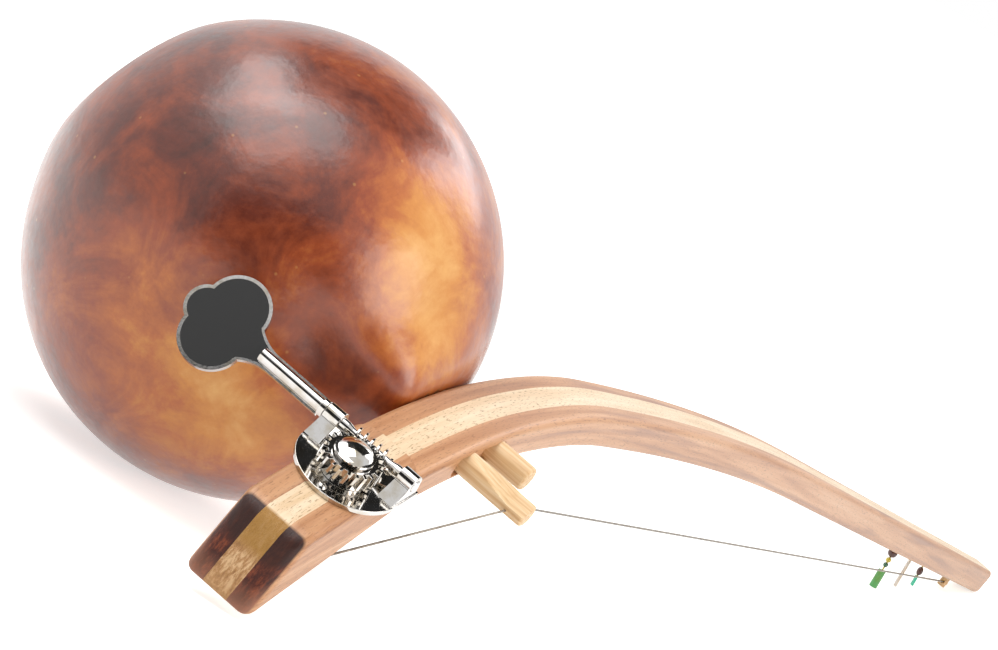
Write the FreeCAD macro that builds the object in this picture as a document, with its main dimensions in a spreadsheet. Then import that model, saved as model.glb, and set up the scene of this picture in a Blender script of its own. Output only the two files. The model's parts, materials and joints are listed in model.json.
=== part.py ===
"""Gourd-resonated musical bow: a laminated stave, one steel string, one worm tuner and a side-mounted gourd.

Lengths are millimetres and angles degrees. Everything is first laid out in the stave's own frame: its
origin is the crease where the flat of the head meets the nose, +X runs along the head towards the tip,
+Y points to the gourd and +Z out of the stave's back. One placement then stands the whole bow on a table,
on the corner of its nose, its tip and the side of its gourd.
"""
import FreeCAD
import Part

import math
import os

from FreeCAD import Placement, Rotation, Vector

SIZES = [
    # stave
    ("head_width", 28.0, "width of the head across the three plies"),
    ("core_width", 10.3, "width of the pale middle ply"),
    ("head_length", 71.5, "flat of the head, from the nose crease to the step"),
    ("pad_step", 2.7, "height of the step from the head down to the limb"),
    ("pad_corner", 9.0, "plan radius of the head's two corners at the step"),
    ("nose_reach", 18.7, "how far the nose runs out past its crease"),
    ("nose_drop", 28.3, "depth of the nose's lower edge under the head's flat"),
    ("nose_bulge", 0.8, "how far the nose face stands out of its chord"),
    ("limb_pitch", 5.17, "slope of the limb just past the step"),
    ("bend_one_length", 90.0, "first bend of the limb, along its back"),
    ("bend_one_turn", 13.71, "turn of the first bend"),
    ("bend_two_length", 110.0, "second bend"),
    ("bend_two_turn", 9.04, "turn of the second bend"),
    ("bend_three_length", 360.0, "long shallow bend"),
    ("bend_three_turn", 4.35, "turn of the long bend"),
    ("straight_length", 527.0, "straight end of the limb"),
    ("limb_thickness", 13.5, "back to belly"),
    ("tip_width", 13.0, "width of the limb at its tip"),
    ("edge_round", 2.4, "rounding of the stave's long edges"),
    # dowels
    ("dowel_diameter", 9.4, "both dowels"),
    ("dowel_fit", 0.05, "radial room round a dowel in its hole"),
    ("string_peg_station", 40.0, "place of the string dowel along the limb's back"),
    ("rest_peg_station", 64.0, "place of the second dowel"),
    ("string_peg_reach", 28.0, "free end of the string dowel past the stave"),
    ("rest_peg_reach", 15.2, "free end of the second dowel"),
    ("peg_tail", 8.0, "dowel beyond its inner collar"),
    ("peg_end_chamfer", 1.0, "broken edge of a dowel's free end"),
    ("recess_depth", 2.5, "scoop in the stave's side where the dowels come out"),
    ("recess_half_height", 5.6, "half the height of the scoop"),
    ("string_hole_inset", 6.2, "string hole from the dowel's free end"),
    ("string_hole", 1.8, "diameter of the hole for the string"),
    ("collar_radius", 9.5, "inner collar of a dowel"),
    ("collar_length", 10.0, "inner collar of a dowel"),
    ("lock_pin_radius", 1.2, "cross pin behind a collar"),
    ("lock_pin_length", 18.0, "cross pin behind a collar"),
    # gourd
    ("gourd_radius", 84.0, "outside of the gourd"),
    ("gourd_wall", 4.5, "thickness of the shell"),
    ("gourd_seat_radius", 13.0, "flat of the gourd against the stave"),
    ("gourd_x", 143.1, "gourd centre along the head"),
    ("gourd_z", -31.1, "gourd centre under the head's flat"),
    ("mouth_radius", 40.0, "open end of the gourd"),
    ("mouth_lift", 10.3, "tilt of the mouth towards the stave's back"),
    ("mouth_swing", 8.6, "tilt of the mouth towards the tip"),
    ("seat_gap", 0.3, "room between curved or soft neighbours"),
    # tuner
    ("tuner_x", 39.0, "gear axis along the head"),
    ("plate_thickness", 1.8, "base plate"),
    ("plate_half_width", 20.0, "half the plate across the stave"),
    ("plate_nose", 15.8, "round end of the plate from the gear axis"),
    ("plate_tail", 18.5, "straight end of the plate from the gear axis"),
    ("plate_shoulder", 4.0, "where the plate's round end begins"),
    ("gear_teeth", 22.0, "teeth of the gear"),
    ("gear_outer", 11.0, "tip radius of the gear"),
    ("gear_root", 9.1, "root radius of the gear"),
    ("gear_width", 5.6, "face width of the gear"),
    ("gear_hub", 8.6, "radius of the hub under the gear"),
    ("worm_pitch_radius", 2.6, "pitch radius of the worm"),
    ("worm_outer", 3.45, "crest radius of the worm"),
    ("worm_core", 1.55, "root radius of the worm"),
    ("worm_turns", 5.0, "turns of thread: odd, so that one lies in the gear's gap"),
    ("worm_height", 7.0, "worm axis over the head"),
    ("journal_radius", 2.2, "shaft in its bearings"),
    ("running_gap", 0.06, "radial room of a turning shaft"),
    ("lug_inner", 13.2, "inner face of a bearing lug"),
    ("lug_outer", 19.6, "outer face of a bearing lug"),
    ("barrel_radius", 3.7, "round top of a bearing lug"),
    ("collar_ring_radius", 3.3, "collar outside the bearing"),
    ("collar_ring_length", 2.3, "collar outside the bearing"),
    ("tang_radius", 1.3, "end of the shaft inside the key"),
    ("tang_length", 8.0, "end of the shaft inside the key"),
    ("key_turn_rest", 43.0, "slope of the key at rest"),
    ("key_rod_radius", 2.5, "round rod of the key"),
    ("key_rod_end", 49.0, "end of the rod from the gear axis"),
    ("key_thickness", 2.4, "cloverleaf plate"),
    ("key_drop", 1.3, "face of the plate under the rod's axis"),
    ("lobe_side_reach", 66.3, "side lobes from the gear axis"),
    ("lobe_side_spread", 6.2, "side lobes from the key's axis"),
    ("lobe_side_radius", 11.8, "side lobes"),
    ("lobe_end_reach", 74.4, "end lobe from the gear axis"),
    ("lobe_end_radius", 7.9, "end lobe"),
    ("neck_half_width", 3.4, "key where its plate begins"),
    ("key_rim", 1.2, "bright rim round the black face"),
    ("inlay_depth", 0.5, "depth of the black face"),
    ("cap_radius", 7.4, "domed cap of the gear"),
    ("post_radius", 3.25, "post through the head"),
    ("post_waist", 2.5, "spool of the post"),
    ("spool_low", 2.4, "foot of the post under its spool"),
    ("spool_length", 5.4, "spool of the post, along it"),
    ("post_reach", 23.0, "post below the belly"),
    ("ferrule_radius", 4.3, "bush of the post in the belly"),
    ("ferrule_length", 8.0, "bush of the post in the belly"),
    ("ferrule_flange", 6.8, "flange of the bush"),
    ("screw_head_radius", 1.8, "wood screws of the plate"),
    ("screw_shank_radius", 0.9, "wood screws of the plate"),
    ("screw_length", 11.0, "wood screws of the plate"),
    # string
    ("string_diameter", 0.8, "plain steel string"),
    ("winding_turns", 4.0, "turns of string on the post"),
    ("anchor_station", 1030.0, "string's anchor along the limb's back"),
    ("anchor_radius", 2.0, "anchor pin at the far end"),
    ("anchor_reach", 5.6, "anchor pin below the belly"),
    ("anchor_sunk", 8.0, "anchor pin inside the stave"),
    ("anchor_string_drop", 3.2, "string under the belly at its anchor"),
    ("ball_radius", 1.7, "ball end of the string"),
    # tassels, measured down from the belly
    ("tassel_offset", 3.4, "tassels beside the middle of the belly, clear of the string"),
    ("thread_radius", 0.4, "threads of the tassels"),
    ("thread_sunk", 2.5, "thread inside its hole in the belly"),
    ("tube_radius", 1.9, "soft tube of the first tassel"),
    ("tube_length", 9.0, "soft tube of the first tassel"),
    ("strip_width", 2.2, "flat strips of the other tassels"),
    ("strip_thickness", 0.9, "flat strips of the other tassels"),
]

# station along the back and length of each tassel, in order towards the tip
TASSELS = [("first", 888.0, 21.0), ("second", 937.0, 16.2), ("third", 975.0, 12.3)]

doc = FreeCAD.newDocument("musical_bow")
sheet = doc.addObject("Spreadsheet::Sheet", "Sizes")
for line, (alias, value, note) in enumerate(SIZES, start=1):
    sheet.set(f"A{line}", alias)
    sheet.set(f"B{line}", str(value))
    sheet.set(f"C{line}", note)
    sheet.setAlias(f"B{line}", alias)
doc.recompute()

X, Y, Z = Vector(1, 0, 0), Vector(0, 1, 0), Vector(0, 0, 1)
NO_TURN = Rotation()
FAR = 400.0
NODES = []


def size(alias):
    """Value of one cell of the sheet."""
    return float(sheet.get(alias))


def register(node, label, local=None):
    """Names a finished sub-part and remembers where it sits in the stave's frame."""
    node.Label = label
    NODES.append((node, local or Placement()))
    return node


def bind(feature, **cells):
    """Ties properties of a feature to cells of the sheet."""
    for name, cell in cells.items():
        feature.setExpression(name, cell)


def turned(axis, degrees):
    return Placement(Vector(), Rotation(axis, degrees))


def moved(x, y, z):
    return Placement(Vector(x, y, z), NO_TURN)


# ---------------------------------------------------------------- sketches and bodies

def new_body(name):
    return doc.addObject("PartDesign::Body", name)


def new_sketch(body, name, role, offset=0.0):
    """An empty sketch on one of the body's own origin planes, moved along that plane's normal."""
    sketch = body.newObject("Sketcher::SketchObject", name)
    plane = next(p for p in body.Origin.OriginFeatures if p.Role == role)
    sketch.AttachmentSupport = [(plane, "")]
    sketch.MapMode = "FlatFace"
    sketch.AttachmentOffset = moved(0, 0, offset)
    return sketch


def add_edges(sketch, edges):
    for edge in edges:
        sketch.addGeometry(edge, False)


def polygon(points):
    """Closed outline of straight edges through (u, v) points."""
    corners = [Vector(u, v, 0) for u, v in points]
    return [Part.LineSegment(a, b) for a, b in zip(corners, corners[1:] + corners[:1])]


def pad(body, sketch, name, length=None, both_ways=False, backwards=False, **cells):
    feature = body.newObject("PartDesign::Pad", name)
    feature.Profile = sketch
    feature.Midplane = both_ways
    feature.Reversed = backwards
    if length is not None:
        feature.Length = length
    bind(feature, **cells)
    sketch.Visibility = False
    return feature


def pocket(body, sketch, name, through=False, backwards=False, length=None, **cells):
    """Cuts against the sketch's normal, or right through on both sides."""
    feature = body.newObject("PartDesign::Pocket", name)
    feature.Profile = sketch
    feature.Reversed = backwards
    if through:
        feature.Type = "ThroughAll"
        feature.Midplane = True
    if length is not None:
        feature.Length = length
    bind(feature, **cells)
    doc.recompute()
    return feature


def revolved(name, outline):
    """A body turned about the sketch's upright axis from a half outline of (radius, height) edges."""
    body = new_body(name)
    sketch = new_sketch(body, f"{name}_outline", "XZ_Plane")
    add_edges(sketch, outline)
    turn = body.newObject("PartDesign::Revolution", f"{name}_turn")
    turn.Profile = sketch
    turn.ReferenceAxis = (sketch, ["V_Axis"])
    turn.Angle = 360
    return body


# ---------------------------------------------------------------- primitives

def cylinder(name, place, radius, height):
    """A cylinder from place along its own Z; radius and height are cell expressions or numbers."""
    solid = doc.addObject("Part::Cylinder", name)
    solid.Placement = place
    for prop, value in (("Radius", radius), ("Height", height)):
        if isinstance(value, str):
            solid.setExpression(prop, value)
        else:
            setattr(solid, prop, value)
    return solid


def box(name, place, length, width, height):
    solid = doc.addObject("Part::Box", name)
    solid.Placement = place
    for prop, value in (("Length", length), ("Width", width), ("Height", height)):
        if isinstance(value, str):
            solid.setExpression(prop, value)
        else:
            setattr(solid, prop, value)
    return solid


def cut(name, base, *tools):
    """base less each tool in turn."""
    result = base
    for number, tool in enumerate(tools, start=1):
        step = doc.addObject("Part::Cut", f"{name}_cut_{number}")
        step.Base = result
        step.Tool = tool
        result = step
    doc.recompute()
    return result


def fuse(name, *shapes):
    result = doc.addObject("Part::MultiFuse", name)
    result.Shapes = list(shapes)
    result.Refine = True
    doc.recompute()
    return result


def along(axis, x, y, z):
    """Placement at a point whose own Z looks along an axis."""
    return Placement(Vector(x, y, z), Rotation(Z, axis))


# ---------------------------------------------------------------- the stave's side view

def limb_stations():
    """(length, turn) of each stretch of the limb's back, in order from the head."""
    bends = [(size(f"bend_{n}_length"), size(f"bend_{n}_turn")) for n in ("one", "two", "three")]
    return bends + [(size("straight_length"), 0.0)]


def limb_point(station, depth=0.0):
    """(x, z, slope) at a distance along the limb's back, and a depth under it."""
    x, z, slope = size("head_length"), -size("pad_step"), math.radians(-size("limb_pitch"))
    left = station
    for length, turn in limb_stations():
        run = min(left, length)
        curve = math.radians(turn) / length
        if curve:
            radius = 1.0 / curve
            after = slope - run * curve
            x += radius * (math.sin(slope) - math.sin(after))
            z += radius * (math.cos(after) - math.cos(slope))
            slope = after
        else:
            x += run * math.cos(slope)
            z += run * math.sin(slope)
        left -= run
        if left <= 0:
            break
    return x + depth * math.sin(slope), z - depth * math.cos(slope), slope


def limb_length():
    return sum(length for length, _ in limb_stations())


def limb_edge(depth):
    """Edges along the limb at one depth, from the head to the tip."""
    edges = []
    start = 0.0
    for length, turn in limb_stations():
        ends = [Vector(*limb_point(s, depth)[:2], 0) for s in (start, start + length / 2, start + length)]
        edges.append(Part.Arc(*ends) if turn else Part.LineSegment(ends[0], ends[2]))
        start += length
    return edges


def belly_height(x):
    """Height of the head's belly at a place under its flat."""
    end_x, end_z, _ = limb_point(0.0, size("limb_thickness"))
    slope = (end_z + size("nose_drop")) / (end_x + size("nose_reach"))
    return -size("nose_drop") + slope * (x + size("nose_reach"))


def stave_outline():
    """Closed side view of the stave: nose, flat head, step, limb, round tip and belly."""
    reach, drop = size("nose_reach"), size("nose_drop")
    long_side = math.hypot(reach, drop)
    bulge = size("nose_bulge")
    nose_mid = Vector(-reach / 2 - bulge * drop / long_side, -drop / 2 + bulge * reach / long_side, 0)
    crease, chin = Vector(0, 0, 0), Vector(-reach, -drop, 0)
    step_top = Vector(size("head_length"), 0, 0)
    step_foot = Vector(size("head_length"), -size("pad_step"), 0)
    thickness = size("limb_thickness")
    back_end = Vector(*limb_point(limb_length())[:2], 0)
    belly_end = Vector(*limb_point(limb_length(), thickness)[:2], 0)
    tip_x, tip_z, slope = limb_point(limb_length(), thickness / 2)
    tip = Vector(tip_x + thickness * 0.42 * math.cos(slope), tip_z + thickness * 0.42 * math.sin(slope), 0)
    belly_start = Vector(*limb_point(0.0, thickness)[:2], 0)
    outline = [Part.LineSegment(crease, step_top), Part.LineSegment(step_top, step_foot)]
    outline += limb_edge(0.0)
    outline += [Part.Arc(back_end, tip, belly_end)]
    outline += limb_edge(thickness)
    outline += [Part.LineSegment(belly_start, chin), Part.Arc(chin, nose_mid, crease)]
    return outline


def half_width(x):
    """Half the stave's width at a place along its head frame."""
    end = limb_point(limb_length())[0]
    share = max(0.0, (x - size("head_length")) / (end - size("head_length")))
    return (size("head_width") + share * (size("tip_width") - size("head_width"))) / 2


def make_ply(label, low, high):
    """One lamination between two widths; an outer one is tapered, rounded and stepped."""
    body = new_body(label)
    side_view = new_sketch(body, f"{label}_side_view", "XZ_Plane", -low)
    add_edges(side_view, stave_outline())
    pad(body, side_view, f"{label}_blank", length=high - low, backwards=True)
    doc.recompute()
    if low * high > 0:
        shape_outer_ply(body, label, 1 if low > 0 else -1)
    bore_dowel_holes(body, label)
    bore_tuner_holes(body, label, low, high)
    return register(body, label)


def shape_outer_ply(body, label, hand):
    """Taper along the limb, and the head's round corner at the step."""
    head, half = size("head_length"), size("head_width") / 2
    end_x = limb_point(limb_length())[0]
    over = end_x + FAR
    past = half_width(end_x) + (half_width(end_x) - half) * (over - end_x) / (end_x - head)
    plan = [(head, half), (over, past), (over, 2 * half), (head, 2 * half)]
    taper = new_sketch(body, f"{label}_taper", "XY_Plane")
    add_edges(taper, polygon([(u, hand * v) for u, v in plan]))
    pocket(body, taper, f"{label}_tapered", through=True)
    corner = size("pad_corner")
    middle = corner * (1 - math.sqrt(0.5))
    start = Vector(head - corner, hand * half, 0)
    bend = Vector(head - middle, hand * (half - middle), 0)
    stop = Vector(head, hand * (half - corner), 0)
    outside = [stop, Vector(head + 1, stop.y, 0), Vector(head + 1, hand * (half + 1), 0),
               Vector(start.x, hand * (half + 1), 0), start]
    plan_corner = new_sketch(body, f"{label}_corner", "XY_Plane")
    add_edges(plan_corner, [Part.Arc(start, bend, stop)])
    add_edges(plan_corner, [Part.LineSegment(a, b) for a, b in zip(outside, outside[1:])])
    pocket(body, plan_corner, f"{label}_step", Length="Sizes.pad_step")


def dowel_stations():
    return [size("string_peg_station"), size("rest_peg_station")]


def dowel_axis(station):
    """(x, z) of a dowel: half way through the limb."""
    x, z, _ = limb_point(station, size("limb_thickness") / 2)
    return x, z


def bore_dowel_holes(body, label):
    holes = new_sketch(body, f"{label}_dowel_holes", "XZ_Plane")
    for station in dowel_stations():
        x, z = dowel_axis(station)
        radius = size("dowel_diameter") / 2 + size("dowel_fit")
        add_edges(holes, [Part.Circle(Vector(x, z, 0), Z, radius)])
    pocket(body, holes, f"{label}_dowel_bores", through=True)


def bore_tuner_holes(body, label, low, high):
    """Hole of the post's bush and pilot holes of the plate's screws, where this ply has them."""
    if low < 0 < high:
        bush = new_sketch(body, f"{label}_post_hole", "XY_Plane")
        radius = size("ferrule_radius") + size("dowel_fit")
        add_edges(bush, [Part.Circle(Vector(size("tuner_x"), 0, 0), Z, radius)])
        pocket(body, bush, f"{label}_post_bore", through=True)
    pilots = new_sketch(body, f"{label}_pilots", "XY_Plane")
    radius = size("screw_shank_radius") + size("dowel_fit")
    for x, y in screw_places():
        if low < y < high:
            add_edges(pilots, [Part.Circle(Vector(size("tuner_x") + x, y, 0), Z, radius)])
    if pilots.Geometry:
        pocket(body, pilots, f"{label}_pilot_bores", Length="Sizes.screw_length")
    else:
        doc.removeObject(pilots.Name)


def screw_places():
    """Wood screws of the plate, from the gear axis."""
    nose = -(size("plate_nose") - size("screw_head_radius") - 0.7)
    tail = size("plate_tail") - size("screw_head_radius") - 0.6
    return [(nose, 0.0), (tail, -8.0), (tail, 8.0)]


def cut_recess(ply):
    """Scoop round the dowels in the side that they come out of."""
    (x_one, z_one), (x_two, z_two) = (dowel_axis(s) for s in dowel_stations())
    run = Vector(x_two - x_one, z_two - z_one, 0)
    run.normalize()
    up = Vector(-run.y, run.x, 0)
    half = size("recess_half_height")
    left = Vector(x_one, z_one, 0) - run * 4.0
    right = Vector(x_two, z_two, 0) + run * 0.8
    floor = half_width(x_one) - size("recess_depth")
    depth = size("head_width") / 2 - floor
    sketch = new_sketch(ply, "recess_outline", "XZ_Plane", size("head_width") / 2)
    add_edges(sketch, [
        Part.LineSegment(left + up * half, right + up * half),
        Part.Arc(right + up * half, right + run * half, right - up * half),
        Part.LineSegment(right - up * half, left - up * half),
        Part.Arc(left - up * half, left - run * half, left + up * half),
    ])
    pocket(ply, sketch, "recess", length=depth)


# ---------------------------------------------------------------- dowels and gourd

def gourd_centre():
    """Centre of the gourd: its flat seats on the stave's side."""
    seat = math.sqrt(size("gourd_radius") ** 2 - size("gourd_seat_radius") ** 2)
    x, z = size("gourd_x"), size("gourd_z")
    return Vector(x, half_width(x) + size("seat_gap") + seat, z)


def mouth_axis():
    """Way that the gourd's mouth looks."""
    tilt = Rotation(X, size("mouth_lift")).multiply(Rotation(Z, -size("mouth_swing")))
    return tilt.multVec(Y)


def mouth_distance():
    return math.sqrt(size("gourd_radius") ** 2 - size("mouth_radius") ** 2)


def make_gourd():
    """Hollow shell with a flat at the stave and a cut mouth, bored for the dowels."""
    outer, inner = size("gourd_radius"), size("gourd_radius") - size("gourd_wall")
    seat_outer = size("gourd_seat_radius")
    seat_height = math.sqrt(outer ** 2 - seat_outer ** 2)
    inner_height = seat_height - size("gourd_wall")
    seat_inner = math.sqrt(inner ** 2 - inner_height ** 2)

    def on_arc(radius, degrees):
        angle = math.radians(degrees)
        return Vector(radius * math.cos(angle), radius * math.sin(angle), 0)

    outline = [
        Part.LineSegment(Vector(0, -seat_height, 0), Vector(seat_outer, -seat_height, 0)),
        Part.Arc(Vector(seat_outer, -seat_height, 0), on_arc(outer, 0), Vector(0, outer, 0)),
        Part.LineSegment(Vector(0, outer, 0), Vector(0, inner, 0)),
        Part.Arc(Vector(0, inner, 0), on_arc(inner, 0), Vector(seat_inner, -inner_height, 0)),
        Part.LineSegment(Vector(seat_inner, -inner_height, 0), Vector(0, -inner_height, 0)),
        Part.LineSegment(Vector(0, -inner_height, 0), Vector(0, -seat_height, 0)),
    ]
    ball = revolved("gourd_blank", outline)
    centre = gourd_centre()
    ball.Placement = Placement(centre, Rotation(X, -90))
    mouth = mouth_axis()
    rim = centre + mouth * mouth_distance()
    knife = box("mouth_knife", Placement(rim, Rotation(Z, mouth)).multiply(moved(-FAR / 2, -FAR / 2, 0)),
                FAR, FAR, FAR)
    bores = []
    for number, station in enumerate(dowel_stations(), start=1):
        x, z = dowel_axis(station)
        bores.append(cylinder(f"gourd_bore_{number}", along(Y, x, 0, z),
                              "Sizes.dowel_diameter / 2 + Sizes.dowel_fit", centre.y))
    return register(cut("gourd", ball, knife, *bores), "gourd_shell")


def collar_face(station):
    """Distance along Y to the face of a dowel's inner collar, against the inside of the shell."""
    x, z = dowel_axis(station)
    centre = gourd_centre()
    off_axis = math.hypot(x - centre.x, z - centre.z) + size("collar_radius")
    inner = size("gourd_radius") - size("gourd_wall")
    return centre.y - math.sqrt(inner ** 2 - off_axis ** 2) + size("seat_gap")


def make_dowel(label, station, reach):
    """A dowel through stave and gourd, with a broken free edge and a hole for its lock pin."""
    x, z = dowel_axis(station)
    start = -(half_width(x) + reach)
    stop = collar_face(station) + size("collar_length") + size("peg_tail")
    body = new_body(label)
    sketch = new_sketch(body, f"{label}_round", "XZ_Plane", -start)
    add_edges(sketch, [Part.Circle(Vector(x, z, 0), Z, size("dowel_diameter") / 2)])
    pad(body, sketch, f"{label}_length", length=stop - start, backwards=True)
    doc.recompute()
    blank = body.Tip
    free_edge = next(f"Edge{n}" for n, edge in enumerate(blank.Shape.Edges, start=1)
                     if abs(edge.CenterOfMass.y - start) < 0.01 and len(edge.Vertexes) == 1)
    bevel = body.newObject("PartDesign::Chamfer", f"{label}_broken_edge")
    bevel.Base = (blank, [free_edge])
    bind(bevel, Size="Sizes.peg_end_chamfer")
    body.Tip = bevel
    doc.recompute()
    pin_y = collar_face(station) + size("collar_length") + 2 * size("lock_pin_radius")
    hole = new_sketch(body, f"{label}_pin_hole", "XY_Plane")
    add_edges(hole, [Part.Circle(Vector(x, pin_y, 0), Z, size("lock_pin_radius") + size("dowel_fit"))])
    pocket(body, hole, f"{label}_pin_bore", through=True)
    return body


def make_collar(label, station):
    x, z = dowel_axis(station)
    face = collar_face(station)
    ring = cylinder(f"{label}_ring", along(Y, x, face, z), "Sizes.collar_radius", "Sizes.collar_length")
    bore = cylinder(f"{label}_bore", along(Y, x, face - 1, z),
                    "Sizes.dowel_diameter / 2 + Sizes.dowel_fit", "Sizes.collar_length + 2")
    return register(cut(label, ring, bore), label)


def make_lock_pins():
    """One cross pin behind each collar, as a group."""
    pins = []
    for number, station in enumerate(dowel_stations(), start=1):
        x, z = dowel_axis(station)
        y = collar_face(station) + size("collar_length") + 2 * size("lock_pin_radius")
        pins.append(cylinder(f"lock_pin_{number}", moved(x, y, z - size("lock_pin_length") / 2),
                             "Sizes.lock_pin_radius", "Sizes.lock_pin_length"))
    group = doc.addObject("Part::Compound", "lock_pins")
    group.Links = pins
    return register(group, "lock_pins")


# ---------------------------------------------------------------- tuner, from the gear axis on the head

def tuner_place():
    return moved(size("tuner_x"), 0, 0)


def gear_pitch():
    """Distance from tooth to tooth at the pitch circle."""
    return 2 * math.pi * gear_pitch_radius() / size("gear_teeth")


def gear_pitch_radius():
    """Pitch radius: 24 half modules outside, 22 at the pitch circle."""
    return size("gear_outer") * size("gear_teeth") / (size("gear_teeth") + 2)


def worm_offset():
    """Distance from the gear axis to the worm axis."""
    return gear_pitch_radius() + size("worm_pitch_radius")


def lead_angle():
    return math.degrees(math.atan(gear_pitch() / (2 * math.pi * size("worm_pitch_radius"))))


def make_tuner_plate():
    """Base plate with two bearing lugs, bored for the worm shaft, the post and the screws."""
    body = new_body("tuner_plate")
    wide, nose, tail = size("plate_half_width"), size("plate_nose"), size("plate_tail")
    shoulder = size("plate_shoulder")
    outline = new_sketch(body, "plate_outline", "XY_Plane")
    add_edges(outline, [
        Part.LineSegment(Vector(shoulder, -wide, 0), Vector(tail, -wide, 0)),
        Part.LineSegment(Vector(tail, -wide, 0), Vector(tail, wide, 0)),
        Part.LineSegment(Vector(tail, wide, 0), Vector(shoulder, wide, 0)),
        Part.Arc(Vector(shoulder, wide, 0), Vector(-nose, 0, 0), Vector(shoulder, -wide, 0)),
    ])
    pad(body, outline, "plate_blank", Length="Sizes.plate_thickness")
    doc.recompute()
    offset, height, barrel = worm_offset(), size("worm_height"), size("barrel_radius")
    inner, outer = size("lug_inner"), size("lug_outer")
    low = size("plate_thickness") / 2
    for hand in (-1, 1):
        side = "gourd" if hand > 0 else "peg"
        start = inner if hand > 0 else -outer
        lug = new_sketch(body, f"lug_{side}", "XZ_Plane", -start)
        left = Vector(offset - barrel, height, 0)
        right = Vector(offset + barrel, height, 0)
        top = Vector(offset, height + barrel, 0)
        foot_right = Vector(min(offset + barrel + 0.8, tail - 0.4), low, 0)
        foot_left = Vector(offset - barrel - 7.5, low, 0)
        add_edges(lug, [
            Part.Arc(left, top, right), Part.LineSegment(right, foot_right),
            Part.LineSegment(foot_right, foot_left), Part.LineSegment(foot_left, left),
        ])
        pad(body, lug, f"lug_{side}_block", length=outer - inner, backwards=True)
        doc.recompute()
    bore = new_sketch(body, "shaft_bore_outline", "XZ_Plane")
    add_edges(bore, [Part.Circle(Vector(offset, height, 0), Z, size("journal_radius") + size("running_gap"))])
    pocket(body, bore, "shaft_bore", through=True)
    holes = new_sketch(body, "plate_holes", "XY_Plane")
    add_edges(holes, [Part.Circle(Vector(), Z, size("post_radius") + size("running_gap"))])
    for x, y in screw_places():
        add_edges(holes, [Part.Circle(Vector(x, y, 0), Z, size("screw_shank_radius") + size("dowel_fit"))])
    pocket(body, holes, "plate_bores", through=True)
    return register(body, "tuner_plate", tuner_place())


def tooth_gap(number):
    """Cutter of one gap between teeth: a wedge leaned to the worm's lead."""
    outer, root = size("gear_outer") + 0.2, size("gear_root")
    wide, narrow = 1.02, 0.68
    width = size("gear_width")
    section = [Vector(root, -narrow, 0), Vector(outer, -wide, 0), Vector(outer, wide, 0), Vector(root, narrow, 0)]
    face = Part.Face(Part.makePolygon([p - Z * width for p in section] + [section[0] - Z * width]))
    wedge = face.extrude(Z * 2 * width)
    wedge.rotate(Vector(), X, -lead_angle())
    wedge.translate(Z * size("worm_height"))
    wedge.rotate(Vector(), Z, number * 360.0 / size("gear_teeth"))
    return wedge


def make_gear():
    """Gear wheel with a hub below it and a round bore for the post's boss."""
    height, width = size("worm_height"), size("gear_width")
    low = height - width / 2
    wheel = cylinder("gear_wheel", moved(0, 0, low), "Sizes.gear_outer", "Sizes.gear_width")
    hub_low = size("plate_thickness") + 0.15
    hub = cylinder("gear_hub_disc", moved(0, 0, hub_low), "Sizes.gear_hub", low - hub_low)
    gaps = doc.addObject("Part::Feature", "gear_gaps")
    gaps.Shape = Part.makeCompound([tooth_gap(n) for n in range(int(size("gear_teeth")))])
    bore = cylinder("gear_bore", moved(0, 0, 0), "Sizes.post_radius - 0.75 + Sizes.running_gap", FAR / 10)
    gear = cut("gear", fuse("gear_blank", wheel, hub), gaps, bore)
    return register(gear, "tuner_gear", tuner_place())


def dome_arc(radius, height, rise):
    """Arc from (radius, height) up to the axis, square to the axis there."""
    ball = (radius ** 2 + rise ** 2) / (2 * rise)
    middle = radius / 2
    level = height + rise - ball + math.sqrt(ball ** 2 - middle ** 2)
    return Part.Arc(Vector(radius, height, 0), Vector(middle, level, 0), Vector(0, height + rise, 0))


def make_gear_cap():
    """Domed cap screw over the gear: neck, rim and crown, with a shank in the post."""
    low = size("worm_height") + size("gear_width") / 2
    rim = size("cap_radius")
    shank = 1.5
    outline = [
        Part.LineSegment(Vector(0, low - 5.0, 0), Vector(shank, low - 5.0, 0)),
        Part.LineSegment(Vector(shank, low - 5.0, 0), Vector(shank, low, 0)),
        Part.LineSegment(Vector(shank, low, 0), Vector(rim - 0.9, low, 0)),
        Part.LineSegment(Vector(rim - 0.9, low, 0), Vector(rim - 0.9, low + 0.7, 0)),
        Part.LineSegment(Vector(rim - 0.9, low + 0.7, 0), Vector(rim, low + 0.7, 0)),
        Part.LineSegment(Vector(rim, low + 0.7, 0), Vector(rim, low + 1.6, 0)),
        Part.LineSegment(Vector(rim, low + 1.6, 0), Vector(rim - 1.3, low + 1.9, 0)),
        dome_arc(rim - 1.3, low + 1.9, 1.8),
        Part.LineSegment(Vector(0, low + 3.7, 0), Vector(0, low - 5.0, 0)),
    ]
    return register(revolved("gear_cap", outline), "gear_cap", tuner_place())


def post_ends():
    """(top of the boss, foot of the post) over the head's flat."""
    top = size("worm_height") + size("gear_width") / 2 - 0.1
    foot = belly_height(size("tuner_x")) - size("post_reach")
    return top, foot


def spool_heights():
    """(upper, lower) ends of the post's spool."""
    _, foot = post_ends()
    lower = foot + size("spool_low")
    return lower + size("spool_length"), lower


def make_post():
    """Post through the head, with a boss for the gear, a threaded socket and a spool for the string."""
    top, foot = post_ends()
    radius, waist = size("post_radius"), size("post_waist")
    boss = radius - 0.75
    shoulder = size("plate_thickness") + 0.1
    upper, lower = spool_heights()
    corners = [(0, foot), (radius, foot), (radius, lower - 0.6), (waist, lower), (waist, upper),
               (radius, upper + 0.6), (radius, shoulder), (boss, shoulder), (boss, top), (1.56, top),
               (1.56, top - 5.2), (0, top - 5.2)]
    return register(revolved("tuner_post", polygon(corners)), "tuner_post", tuner_place())


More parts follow.
